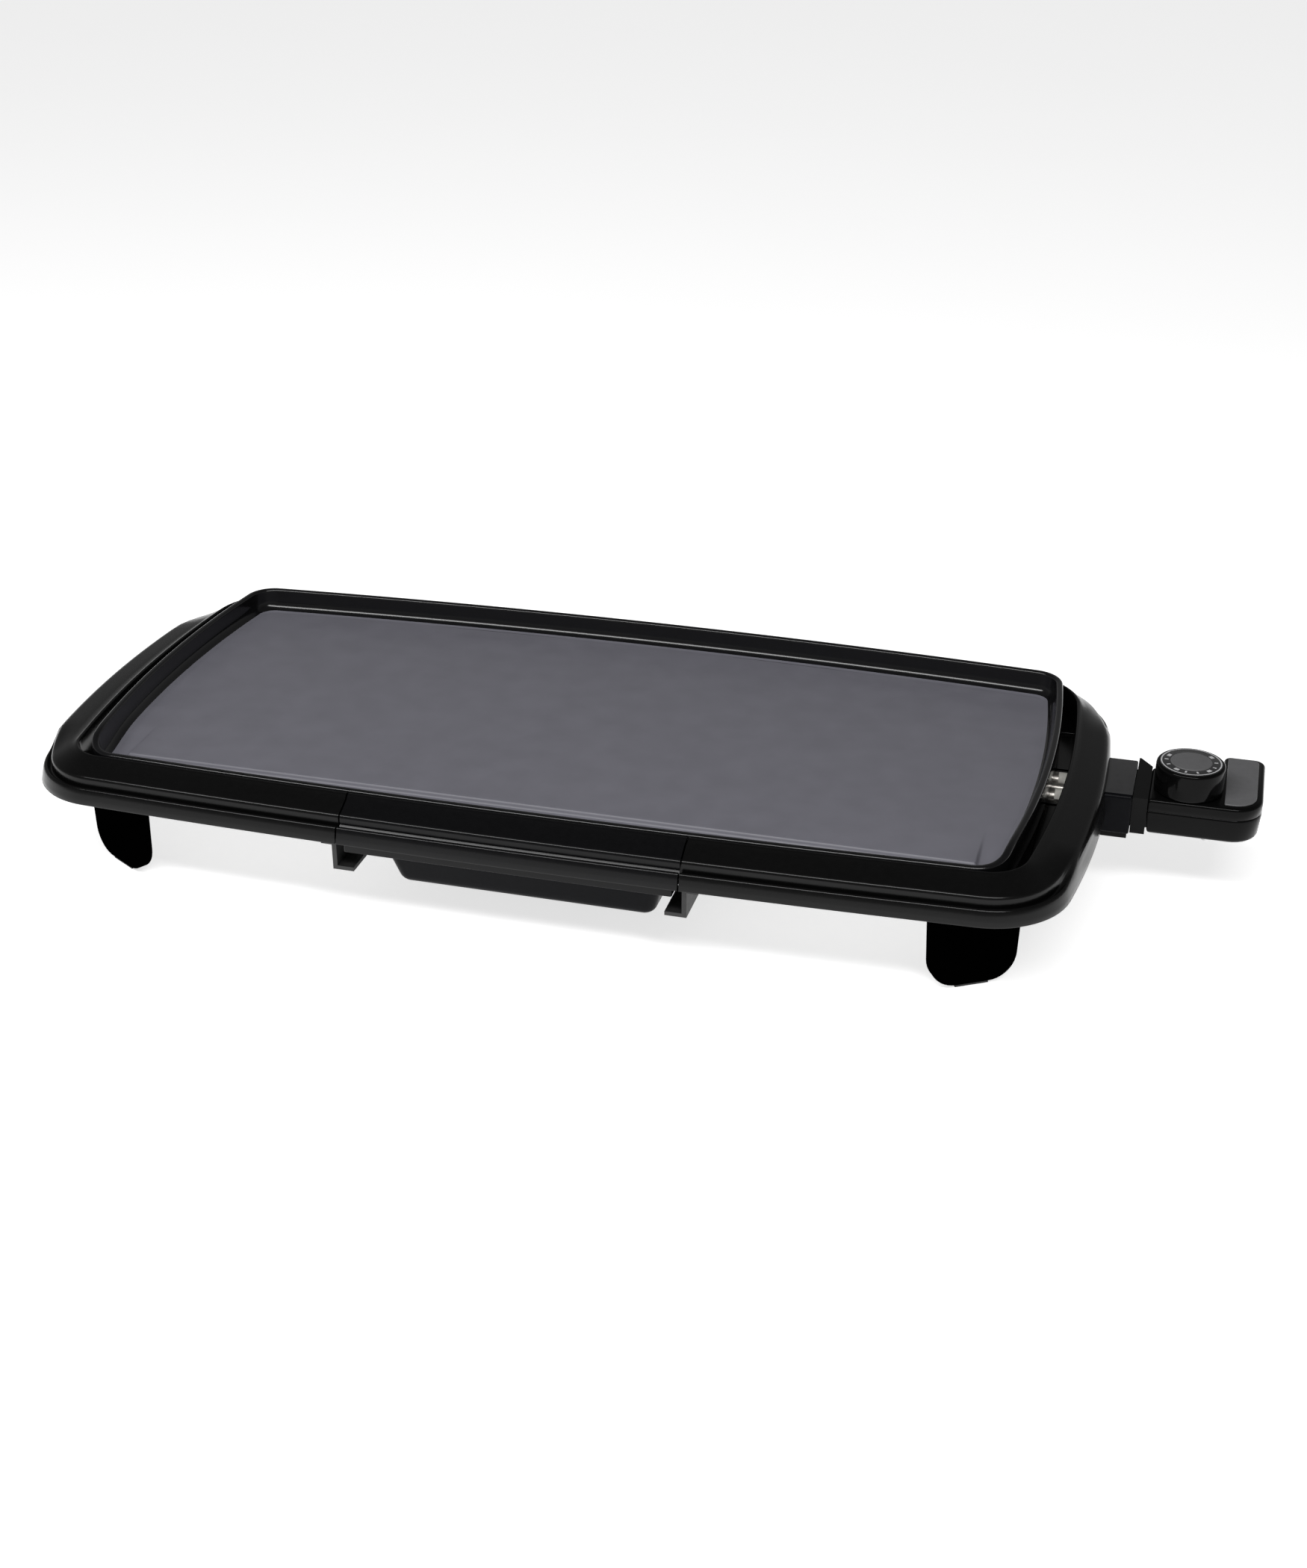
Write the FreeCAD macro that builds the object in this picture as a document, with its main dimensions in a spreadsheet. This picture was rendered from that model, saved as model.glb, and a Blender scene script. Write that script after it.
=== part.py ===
import FreeCAD, Part
import math
import os
import Sketcher

# Electric griddle: cast plate in a moulded ring frame on four legs, a drip tray that slides out
# forwards and a plug-in heat control with a dial. Millimetres, +Z up, front is -Y, control on +X.

doc = FreeCAD.newDocument("griddle")
V = FreeCAD.Vector

# ---------------------------------------------------------------- sizes
SIZES = [
    # name, value, meaning
    ("shift_x", -40.0, "moves the design centre so that the origin is under the middle of the whole"),
    ("shift_y", 3.0, "same, front to back"),
    # frame
    ("frame_half_x", 290.0, "skirt half length"),
    ("frame_front", 147.5, "skirt front at the centre"),
    ("frame_back", 136.5, "skirt back at the centre"),
    ("frame_end_r", 660.0, "bow of the ends"),
    ("frame_front_r", 5500.0, "bow of the front"),
    ("frame_back_r", 4000.0, "bow of the back"),
    ("frame_corner_r", 44.0, "front plan corner radius"),
    ("frame_back_corner_r", 56.0, "back plan corner radius"),
    ("raise_inset", 1.2, "edge of the raised ends"),
    ("raise_top", 70.2, "z of the raised ends"),
    ("skirt_bottom", 50.8, "z of the skirt's lower edge"),
    ("step_top", 59.8, "z of the lower step"),
    ("step_draft", 2.2, "lean of the skirt"),
    ("groove_bottom", 57.6, "z of the shadow groove"),
    ("groove_inset", 4.4, "outer edge of the groove"),
    ("ridge_inset", 6.5, "ridge behind the groove"),
    ("ridge_top", 64.3, "z of the ridge"),
    ("frame_top", 70.9, "z of the inner top edge"),
    ("frame_slope", 15.2, "plan width of the sloping top"),
    ("frame_wall", 3.0, "moulding wall"),
    ("channel_top", 60.2, "ceiling of the hollow under the ring"),
    ("open_half_x", 268.0, "opening half length"),
    ("open_front", 126.4, "opening front"),
    ("open_back", 129.0, "opening back"),
    ("open_end_r", 735.0, "opening end bow"),
    ("open_back_r", 3000.0, "opening back bow"),
    ("open_corner_r", 21.0, "front opening corner radius"),
    ("open_back_corner_r", 38.0, "back opening corner radius"),
    ("gusset_top", 54.2, "top of the corner gussets"),
    ("gusset_x", 204.0, "inner edge of the gussets"),
    ("gusset_y", 82.0, "inner edge of the gussets"),
    ("seam_x", 92.2, "half width of the gap the tray front fills"),
    ("seam_gap", 0.9, "gap each side of the tray front"),
    ("crossbar_back", 131.4, "front face of the bar behind the tray front"),
    ("crossbar_top", 62.0, "top of that bar"),
    # plate
    ("plate_half_x", 260.0, "half length at its widest"),
    ("plate_end_y", 12.0, "y of the widest place"),
    ("plate_end_r", 735.0, "end bow"),
    ("plate_front", 125.0, "front of the rim"),
    ("plate_front_r", 5500.0, "front bow"),
    ("plate_back", 126.4, "back of the rim"),
    ("plate_back_r", 3000.0, "back bow"),
    ("plate_corner_r", 19.0, "front plan corner radius"),
    ("plate_back_corner_r", 17.0, "back plan corner radius"),
    ("plate_under", 57.6, "z of the underside"),
    ("plate_floor", 63.1, "z of the cooking surface"),
    ("plate_rim", 76.2, "z of the rim"),
    ("front_rim", 71.2, "z of the lower front rim"),
    ("rim_wall", 4.0, "rim thickness"),
    ("rim_fillet", 6.0, "radius where floor meets wall"),
    ("channel_floor", 60.5, "z of the grease channel"),
    ("channel_back", 99.5, "rear edge of the front channel"),
    ("channel_front", 114.0, "front edge of the channel floor"),
    ("leg_channel_x", 233.0, "inner edge of the side channels"),
    ("leg_channel_end", 62.0, "where the side channels fade out"),
    ("drain_half_x", 15.0, "drain slot half length"),
    # element and socket
    ("element_r", 4.5, "tube radius"),
    ("element_z", 52.5, "tube axis height"),
    ("element_y", 75.0, "long runs at plus and minus"),
    ("element_x", 215.0, "cross runs at plus and minus"),
    ("bend_r", 20.0, "bend radius"),
    ("probe_y", 14.0, "probe axis"),
    ("pin_pitch", 10.0, "pin axis from the probe axis"),
    ("pin_r", 3.2, "terminal pin radius"),
    ("sleeve_bore_r", 3.26, "contact sleeve bore radius"),
    ("sleeve_r", 4.6, "contact sleeve radius"),
    ("probe_r", 3.0, "probe radius"),
    ("probe_bore_r", 3.06, "probe pocket radius"),
    # guard
    ("guard_x0", 283.9, "inner end"),
    ("guard_x1", 303.0, "outer end"),
    ("guard_y0", -9.0, "front side"),
    ("guard_y1", 37.0, "back side"),
    ("guard_top", 64.3, "top"),
    ("guard_bottom", 38.0, "bottom"),
    # tray
    ("tray_back", 40.0, "rear of the pan"),
    ("tray_front", 122.0, "front of the pan"),
    ("tray_top_x", 76.8, "pan half width at the top"),
    ("tray_bottom_x", 70.1, "pan half width at the bottom"),
    ("tray_top", 38.8, "top of the pan"),
    ("tray_bottom", 14.9, "bottom of the pan"),
    ("tray_wall", 2.2, "pan wall"),
    ("lip_x", 91.4, "half width over the lips"),
    ("lip_under", 36.6, "underside of the lips"),
    ("rail_x", 93.0, "inner face of the rail web"),
    ("rail_web", 2.5, "rail sheet"),
    ("rail_foot", 34.0, "bottom of the rails"),
    # legs
    ("leg_x", 235.7, "leg centre"),
    ("leg_y", 110.6, "leg centre, front pair"),
    ("leg_turn", 31.0, "plan angle of the blades"),
    ("leg_back_y", 103.0, "leg centre, back pair"),
    ("leg_w0", 46.0, "width at the floor"),
    ("leg_w1", 50.0, "width at the top"),
    ("leg_t", 8.0, "thickness"),
    ("leg_corner", 13.0, "rounding of the bottom corners"),
    ("pad_h", 1.2, "rubber under the leg"),
    # control
    ("box_x0", 311.0, "front wall of the control"),
    ("box_x1", 370.0, "outer end"),
    ("handle_x0", 348.0, "where the handle widens"),
    ("box_y0", -5.0, "front side"),
    ("box_y1", 35.0, "back side of the box"),
    ("handle_y1", 59.0, "back side of the handle"),
    ("box_z0", 41.0, "bottom"),
    ("box_z1", 55.0, "parting line"),
    ("box_z2", 62.0, "deck"),
    ("box_wall", 2.2, "housing wall"),
    ("flange_x0", 303.3, "face of the flange"),
    ("dial_x", 330.8, "dial axis"),
    ("dial_y", 12.7, "dial axis"),
    ("dial_r", 18.1, "knob radius"),
    ("dial_z0", 62.5, "underside of the knob"),
    ("dial_z1", 78.0, "top of the knob"),
    ("spindle_r", 3.0, "spindle radius"),
    ("spindle_hole_r", 3.06, "hole the spindle runs in"),
]

sheet = doc.addObject("Spreadsheet::Sheet", "sizes")
for row, (alias, value, meaning) in enumerate(SIZES, start=1):
    sheet.set("A%d" % row, alias)
    sheet.set("B%d" % row, str(value))
    sheet.set("C%d" % row, meaning)
    sheet.setAlias("B%d" % row, alias)
doc.recompute()

NUMBERS = {alias: value for alias, value, meaning in SIZES}
NAMES = sorted(NUMBERS, key=len, reverse=True)


def cell(text):
    """'frame_top - 3' becomes 'sizes.frame_top - 3' for use as an expression."""
    words = []
    for word in str(text).replace("(", "( ").replace(")", " )").split(" "):
        sign = ""
        if word.startswith("-") and word[1:] in NUMBERS:
            sign, word = "-", word[1:]
        words.append(sign + ("sizes." + word if word in NUMBERS else word))
    return " ".join(words)


def bind(obj, prop, text):
    obj.setExpression(prop, cell(text))


def place(obj, x="0", y="0", z="0"):
    bind(obj, "Placement.Base.x", x)
    bind(obj, "Placement.Base.y", y)
    bind(obj, "Placement.Base.z", z)


# ---------------------------------------------------------------- solids
def box(name, x0, x1, y0, y1, z0, z1):
    obj = doc.addObject("Part::Box", name)
    bind(obj, "Length", "(%s) - (%s)" % (x1, x0))
    bind(obj, "Width", "(%s) - (%s)" % (y1, y0))
    bind(obj, "Height", "(%s) - (%s)" % (z1, z0))
    place(obj, x0, y0, z0)
    return obj


def rod(name, axis, x, y, z, radius, length):
    """A cylinder from (x, y, z) along the axis X, Y or Z."""
    obj = doc.addObject("Part::Cylinder", name)
    bind(obj, "Radius", radius)
    bind(obj, "Height", length)
    turn = {"X": FreeCAD.Rotation(V(0, 1, 0), 90), "Y": FreeCAD.Rotation(V(1, 0, 0), -90)}
    obj.Placement = FreeCAD.Placement(V(), turn.get(axis, FreeCAD.Rotation()))
    place(obj, x, y, z)
    return obj


def cone(name, axis, x, y, z, r0, r1, length):
    obj = doc.addObject("Part::Cone", name)
    bind(obj, "Radius1", r0)
    bind(obj, "Radius2", r1)
    bind(obj, "Height", length)
    turn = {"X": FreeCAD.Rotation(V(0, 1, 0), 90), "-X": FreeCAD.Rotation(V(0, 1, 0), -90)}
    obj.Placement = FreeCAD.Placement(V(), turn.get(axis, FreeCAD.Rotation()))
    place(obj, x, y, z)
    return obj


def many(kind, name, shapes):
    obj = doc.addObject(kind, name)
    obj.Shapes = shapes
    return obj


def fuse(name, *shapes):
    return many("Part::MultiFuse", name, list(shapes))


def common(name, *shapes):
    return many("Part::MultiCommon", name, list(shapes))


def cut(name, base, *tools):
    obj = doc.addObject("Part::Cut", name)
    obj.Base = base
    obj.Tool = tools[0] if len(tools) == 1 else fuse(name + "_tools", *tools)
    return obj


def group(name, *shapes):
    obj = doc.addObject("Part::Compound", name)
    obj.Links = list(shapes)
    return obj


def is_upright(edge):
    a, b = edge.Vertexes[0].Point, edge.Vertexes[-1].Point
    return abs(a.x - b.x) < 0.01 and abs(a.y - b.y) < 0.01 and abs(a.z - b.z) > 0.01


def is_level(edge, z):
    return all(abs(v.Point.z - z) < 0.01 for v in edge.Vertexes)


def soften(kind, name, base, test, first, second=None):
    """Part::Fillet or Part::Chamfer on every edge that passes the test."""
    doc.recompute()
    obj = doc.addObject(kind, name)
    obj.Base = base
    second = first if second is None else second
    obj.Edges = [(i, first, second) for i, e in enumerate(base.Shape.Edges, start=1) if test(e)]
    doc.recompute()
    return obj


OUTLINES = {
    "frame": dict(half_x="frame_half_x", end_y="0", front="frame_front", back="frame_back",
                  end_r="frame_end_r", front_r="frame_front_r", back_r="frame_back_r",
                  corner="frame_corner_r", back_corner="frame_back_corner_r"),
    "opening": dict(half_x="open_half_x", end_y="plate_end_y", front="open_front", back="open_back",
                    end_r="open_end_r", front_r="frame_front_r", back_r="open_back_r",
                    corner="open_corner_r", back_corner="open_back_corner_r"),
    "plate": dict(half_x="plate_half_x", end_y="plate_end_y", front="plate_front", back="plate_back",
                  end_r="plate_end_r", front_r="plate_front_r", back_r="plate_back_r",
                  corner="plate_corner_r", back_corner="plate_back_corner_r"),
}


def slab(name, outline, inset, z0, z1):
    """A slab with four bowed sides and round corners; inset is a sheet name or number text."""
    o = OUTLINES[outline]
    height = "(%s) - (%s)" % (z1, z0)
    sides = []
    for tag, x, y, r in [
        ("front", "0", "%s - %s" % (o["front_r"], o["front"]), o["front_r"]),
        ("back", "0", "%s - %s" % (o["back"], o["back_r"]), o["back_r"]),
        ("left", "%s - %s" % (o["end_r"], o["half_x"]), o["end_y"], o["end_r"]),
        ("right", "%s - %s" % (o["half_x"], o["end_r"]), o["end_y"], o["end_r"]),
    ]:
        sides.append(rod(name + "_" + tag, "Z", x, y, z0, "%s - (%s)" % (r, inset), height))
    raw = common(name + "_raw", *sides)
    number = NUMBERS.get(inset)
    number = float(inset) if number is None else number
    doc.recompute()
    rounded = doc.addObject("Part::Fillet", name)
    rounded.Base = raw
    edges = []
    for i, e in enumerate(raw.Shape.Edges, start=1):
        if is_upright(e):
            r = NUMBERS[o["back_corner" if e.CenterOfMass.y > 0 else "corner"]] - number
            edges.append((i, r, r))
    rounded.Edges = edges
    doc.recompute()
    return rounded


# ---------------------------------------------------------------- sketch-made bodies
def origin_plane(body, role):
    return [f for f in body.Origin.OriginFeatures if f.Role == role][0]


def sketch(body, name, plane, offset="0"):
    obj = body.newObject("Sketcher::SketchObject", name)
    obj.AttachmentSupport = [(origin_plane(body, plane), "")]
    obj.MapMode = "FlatFace"
    obj.setExpression(".AttachmentOffset.Base.z", cell(offset))
    return obj


def outline(body, name, plane, points, offset="0"):
    """A closed polygon; every corner is tied to the sheet in both directions."""
    sk = sketch(body, name, plane, offset)
    n = len(points)
    spot = [V(100 * math.cos(2 * math.pi * i / n), 100 * math.sin(2 * math.pi * i / n), 0)
            for i in range(n)]
    for i in range(n):
        sk.addGeometry(Part.LineSegment(spot[i], spot[(i + 1) % n]))
    for i in range(n):
        sk.addConstraint(Sketcher.Constraint("Coincident", i, 2, (i + 1) % n, 1))
    for i, (u, w) in enumerate(points):
        for kind, text, start in (("DistanceX", u, spot[i].x), ("DistanceY", w, spot[i].y)):
            k = sk.addConstraint(Sketcher.Constraint(kind, -1, 1, i, 1, start))
            sk.setExpression("Constraints[%d]" % k, cell(text))
    doc.recompute()
    return sk


def circle(body, name, plane, u, w, radius, offset="0"):
    sk = sketch(body, name, plane, offset)
    sk.addGeometry(Part.Circle(V(10, 10, 0), V(0, 0, 1), 5))
    for kind, text, start in (("DistanceX", u, 10), ("DistanceY", w, 10)):
        k = sk.addConstraint(Sketcher.Constraint(kind, -1, 1, 0, 3, start))
        sk.setExpression("Constraints[%d]" % k, cell(text))
    k = sk.addConstraint(Sketcher.Constraint("Radius", 0, 5))
    sk.setExpression("Constraints[%d]" % k, cell(radius))
    doc.recompute()
    return sk


def pad(body, name, sk, length, midplane=False, reverse=False):
    obj = body.newObject("PartDesign::Pad", name)
    obj.Profile = sk
    obj.Midplane = midplane
    obj.Reversed = reverse
    bind(obj, "Length", length)
    doc.recompute()
    return obj


def pocket(body, name, sk, length, reverse=False, midplane=False):
    before = body.Shape.Volume
    obj = body.newObject("PartDesign::Pocket", name)
    obj.Profile = sk
    obj.Reversed = reverse
    obj.Midplane = midplane
    bind(obj, "Length", length)
    doc.recompute()
    if not body.Shape.Volume < before - 0.5:
        raise RuntimeError("pocket %s cut nothing" % name)
    return obj


def round_edges(body, name, test, radius_name, chamfer=False):
    kind = "PartDesign::Chamfer" if chamfer else "PartDesign::Fillet"
    last = body.Tip
    edges = ["Edge%d" % i for i, e in enumerate(last.Shape.Edges, start=1) if test(e)]
    obj = body.newObject(kind, name)
    obj.Base = (last, edges)
    bind(obj, "Size" if chamfer else "Radius", radius_name)
    doc.recompute()
    return obj


def near(edge, x=None, y=None, z=None, tol=0.05):
    p = edge.CenterOfMass
    return all(w is None or abs(v - w) < tol for v, w in ((p.x, x), (p.y, y), (p.z, z)))


N = NUMBERS
PARTS = {}


def prism(name, points, x0, x1):
    """A polygon in the YZ plane (a wire of the sheet's numbers) drawn out along X."""
    body = doc.addObject("PartDesign::Body", name)
    pad(body, name + "_pad", outline(body, name + "_sketch", "YZ_Plane", points, x0),
        "(%s) - (%s)" % (x1, x0))
    return body


# ---------------------------------------------------------------- frame
ridge_raw = slab("ridge_slab", "frame", "ridge_inset", "skirt_bottom", "frame_top")
ridge_slab = soften(
    "Part::Chamfer", "ridge_sloped", ridge_raw, lambda e: is_level(e, N["frame_top"]),
    N["frame_top"] - N["ridge_top"], N["frame_slope"])
step_raw = slab("step_slab", "frame", "0", "skirt_bottom", "step_top")
step_slab = soften(
    "Part::Fillet", "step_rounded", step_raw, lambda e: is_level(e, N["step_top"]),
    N["step_draft"])
groove = cut("groove_ring", slab("groove_outer", "frame", "groove_inset", "groove_bottom", "step_top + 1"),
             slab("groove_inner", "frame", "ridge_inset", "groove_bottom - 1", "step_top + 2"))
outer = cut("frame_outer", fuse("frame_stack", ridge_slab, step_slab), groove)
# the two ends rise to a round-edged grip
raise_raw = slab("raise_slab", "frame", "raise_inset", "skirt_bottom + 6", "raise_top")
raise_slab = soften("Part::Fillet", "raise_rounded", raise_raw, lambda e: is_level(e, N["raise_top"]), 5.0)
raise_span = prism("raise_span", [
    ("-114", "step_top - 3"), ("-88", "raise_top + 0.3"), ("62", "raise_top + 0.3"), ("96", "step_top - 3")],
    "-300.0", "300.0")
outer_raised = fuse("frame_raised", outer, common("raised_ends", raise_slab, raise_span))

hollow = cut("channel_ring", slab("channel_outer", "frame", "8.6", "skirt_bottom - 1", "channel_top"),
             slab("channel_inner", "opening", "-3.0", "skirt_bottom - 2", "channel_top + 1"))
lower_hollow = cut("skirt_ring", slab("skirt_outer", "frame", "3.0", "skirt_bottom - 1", "groove_bottom - 2.4"),
                   slab("skirt_inner", "opening", "-3.0", "skirt_bottom - 2", "channel_top + 1"))
opening = slab("frame_opening", "opening", "0", "skirt_bottom - 3", "frame_top + 5")
ring = cut("frame_ring", outer_raised, opening, hollow, lower_hollow)

# corner gussets carry the legs and the plate
inside = slab("gusset_slab", "frame", "2.0", "skirt_bottom", "gusset_top")
corner_boxes = []
for sx in (-1, 1):
    for sy in (-1, 1):
        x0, x1 = ("gusset_x", "300") if sx > 0 else ("-300", "-gusset_x")
        y0, y1 = ("gusset_y", "160") if sy > 0 else ("-160", "-gusset_y - 5")
        corner_boxes.append(box("gusset_box_%d%d" % (sx > 0, sy > 0), x0, x1, y0, y1,
                                "skirt_bottom - 1", "gusset_top + 1"))
gussets = common("gussets", inside, fuse("gusset_boxes", *corner_boxes))

# room for the tray front, with a bar left behind it
tray_gap = box("tray_gap", "-seam_x", "seam_x", "-160", "-crossbar_back", "40", "80")
tray_gap_top = box("tray_gap_top", "-seam_x", "seam_x", "-160", "-open_front + 1", "crossbar_top", "80")
pin_gap = box("pin_gap", "255", "295", "guard_y0 + 3", "guard_y1 - 3", "45", "61.2")
holes = []
for sx in (-1, 1):
    for y, tag in (("-leg_y", "f"), ("leg_back_y", "b")):
        for k in (-1, 1):
            # two leg screws per corner, spaced along the blade
            turn = math.radians(N["leg_turn"]) * (sx if tag == "f" else -sx)
            dx, dy = k * 12.0 * math.cos(turn), k * 12.0 * math.sin(turn)
            x = ("leg_x" if sx > 0 else "-leg_x") + " + %.3f" % dx
            holes.append(rod("leg_hole_%s%d%d" % (tag, sx > 0, k > 0), "Z", x, y + " + %.3f" % dy,
                             "skirt_bottom - 1", "2.3", "10"))
BOSS_X, BOSS_FRONT, BOSS_BACK = 219.0, -93.0, 92.0
BOSSES = [(sx * BOSS_X, y) for sx in (-1, 1) for y in (BOSS_FRONT, BOSS_BACK)]
for i, (x, y) in enumerate(BOSSES):
    holes.append(rod("boss_hole_%d" % i, "Z", str(x), str(y), "skirt_bottom - 1", "2.3", "10"))
# ledges that close the gap beside the plate, and a trough under the terminals
ledge_slab = slab("ledge_slab", "frame", "2.0", "skirt_bottom", "skirt_bottom + 2.4")
ledges = common("ledges", ledge_slab, fuse("ledge_boxes", box("ledge_l", "-300", "-257", "-92", "92", "45", "60"),
                                           box("ledge_r", "257", "300", "-92", "92", "45", "60"),
                                           box("ledge_s", "244", "258", "-92", "-12", "45", "60")))
frame_base = fuse("frame_with_gussets", ring, gussets, ledges)
trough = cut("trough", box("trough_out", "256", "288", "guard_y0", "guard_y1", "44.6", "skirt_bottom + 2.4"),
             box("trough_in", "250", "295", "guard_y0 + 3", "guard_y1 - 3", "46.6", "60"))
frame_bored = cut("frame_bored", frame_base, tray_gap, tray_gap_top, pin_gap, *holes)
frame_cut = fuse("frame_cut", frame_bored, trough)
PARTS["base_frame"] = group("base_frame", frame_cut)

# ---------------------------------------------------------------- griddle plate
plate_raw = slab("plate_slab", "plate", "0", "plate_under", "plate_rim")
plate_slab = soften("Part::Fillet", "plate_rounded", plate_raw,
                    lambda e: is_level(e, N["plate_rim"]), 1.4)
basin_raw = slab("basin_slab", "plate", "rim_wall", "plate_floor", "plate_rim + 20")
basin = soften("Part::Fillet", "basin_rounded", basin_raw,
               lambda e: is_level(e, N["plate_floor"]), N["rim_fillet"])
basin_cut = common("basin", basin, box("basin_box", "-300", "300", "-channel_back", "200", "50", "120"))


front_channel = prism("front_channel", [
    ("-channel_back + 0.1", "plate_floor"), ("-channel_back - 1.6", "channel_floor"),
    ("-channel_front", "channel_floor"), ("-plate_front + 2.6", "front_rim + 0.2"),
    ("-plate_front + 2.6", "90"), ("-channel_back + 0.1", "90")], "-256.0", "256.0")
inner_slab = slab("channel_limit", "plate", "rim_wall", "plate_under - 2", "plate_rim + 20")
ramps = []
for tag, x0, x1 in (("left", "-256.0", "-leg_channel_x"), ("right", "leg_channel_x", "256.0")):
    ramps.append(prism("ramp_" + tag, [
        ("-leg_channel_end", "plate_floor"), ("-channel_back - 1.6", "channel_floor"),
        ("-channel_back - 1.6", "plate_floor + 3"), ("-leg_channel_end", "plate_floor + 3")], x0, x1))
channel_cut = common("channel", inner_slab, fuse("channel_parts", front_channel, *ramps))
front_drop = prism("front_drop", [
    ("-140", "front_rim"), ("-plate_front + 9", "front_rim"), ("-plate_front + 30", "plate_rim + 0.1"),
    ("-plate_front + 30", "90"), ("-140", "90")], "-300", "300")
drain = box("drain_slot", "-drain_half_x", "drain_half_x", "-channel_front + 1.5", "-channel_back - 3.5",
            "50", "70")
plate_shell = cut("plate_shell", plate_slab, basin_cut, channel_cut, front_drop, drain)
extras = []
for i, (x, y) in enumerate(BOSSES):
    extras.append(rod("boss_%d" % i, "Z", str(x), str(y), "gusset_top", "6.0", "plate_under - gusset_top + 0.5"))
for tag, y0 in (("a", "-element_y - element_r - 2.8"), ("b", "-element_y + element_r + 0.3"),
                ("c", "element_y - element_r - 2.8"), ("d", "element_y + element_r + 0.3")):
    extras.append(box("rib_" + tag, "-190", "190", y0, y0 + " + 2.5", "element_z - 1.5", "plate_under + 0.5"))
for tag, x0 in (("e", "-element_x - element_r - 2.8"), ("f", "-element_x + element_r + 0.3")):
    extras.append(box("rib_" + tag, x0, x0 + " + 2.5", "-50", "50", "element_z - 1.5", "plate_under + 0.5"))
extras.append(box("drain_lip_0", "-drain_half_x - 2.5", "-drain_half_x", "-channel_front - 1",
                  "-channel_back - 1", "48.5", "plate_under + 0.5"))
extras.append(box("drain_lip_1", "drain_half_x", "drain_half_x + 2.5", "-channel_front - 1",
                  "-channel_back - 1", "48.5", "plate_under + 0.5"))
extras.append(box("drain_lip_2", "-drain_half_x - 2.5", "drain_half_x + 2.5", "-channel_back - 3.5",
                  "-channel_back - 1", "48.5", "plate_under + 0.5"))
extras.append(box("drain_lip_3", "-drain_half_x - 2.5", "drain_half_x + 2.5", "-channel_front - 1",
                  "-channel_front + 1.5", "48.5", "plate_under + 0.5"))
extras.append(box("probe_boss", "232", "256", "probe_y - 4.9", "probe_y + 4.9", "element_z - 5.5",
                  "plate_under + 0.5"))
plate_full = fuse("plate_full", plate_shell, *extras)
probe_bore = rod("probe_bore", "X", "234", "probe_y", "element_z", "probe_bore_r", "40")
boss_screws = [rod("boss_tap_%d" % i, "Z", str(x), str(y), "gusset_top - 1", "1.7", "5.0")
               for i, (x, y) in enumerate(BOSSES)]
PARTS["griddle_plate"] = cut("griddle_plate", plate_full, probe_bore, *boss_screws)

# ---------------------------------------------------------------- heating element and terminals
pieces = []
run = "(element_x - bend_r) * 2"
for tag, y in (("front", "-element_y"), ("back", "element_y")):
    pieces.append(rod("element_" + tag, "X", "-element_x + bend_r", y, "element_z", "element_r", run))
pieces.append(rod("element_left", "Y", "-element_x", "-element_y + bend_r", "element_z", "element_r",
                  "(element_y - bend_r) * 2"))
pieces.append(rod("element_right_0", "Y", "element_x", "-element_y + bend_r", "element_z", "element_r",
                  "element_y - bend_r + probe_y - pin_pitch - bend_r"))
pieces.append(rod("element_right_1", "Y", "element_x", "probe_y + pin_pitch + bend_r", "element_z",
                  "element_r", "element_y - bend_r - probe_y - pin_pitch - bend_r"))
for tag, y in (("0", "probe_y - pin_pitch"), ("1", "probe_y + pin_pitch")):
    pieces.append(rod("element_end_" + tag, "X", "element_x + bend_r", y, "element_z", "element_r", "27"))
for tag, x, y, turn in (
        ("a", "-element_x + bend_r", "-element_y + bend_r", 180),
        ("b", "element_x - bend_r", "-element_y + bend_r", 270),
        ("c", "element_x - bend_r", "element_y - bend_r", 0),
        ("d", "-element_x + bend_r", "element_y - bend_r", 90),
        ("e", "element_x + bend_r", "probe_y - pin_pitch - bend_r", 90),
        ("f", "element_x + bend_r", "probe_y + pin_pitch + bend_r", 180)):
    bend = doc.addObject("Part::Torus", "element_bend_" + tag)
    bind(bend, "Radius1", "bend_r")
    bind(bend, "Radius2", "element_r")
    bend.Angle3 = 90
    bend.Placement = FreeCAD.Placement(V(), FreeCAD.Rotation(V(0, 0, 1), turn))
    place(bend, x, y, "element_z")
    pieces.append(bend)
PARTS["heating_element"] = fuse("heating_element", *pieces)

pins, seals = [], []
for tag, y in (("0", "probe_y - pin_pitch"), ("1", "probe_y + pin_pitch")):
    shank = rod("pin_shank_" + tag, "X", "element_x + bend_r + 27", y, "element_z", "pin_r", "35")
    tip = cone("pin_tip_" + tag, "X", "element_x + bend_r + 62", y, "element_z", "pin_r", "pin_r - 1.6", "2.4")
    pins.append(fuse("pin_" + tag, shank, tip))
    collar = rod("seal_" + tag, "X", "element_x + bend_r + 27", y, "element_z", "element_r", "5")
    seals.append(cut("terminal_seal_" + tag, collar,
                     rod("seal_hole_" + tag, "X", "element_x + bend_r + 26", y, "element_z", "pin_r", "8")))
PARTS["terminal_pins"] = group("terminal_pins", *pins)
PARTS["terminal_seals"] = group("terminal_seals", *seals)

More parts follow.
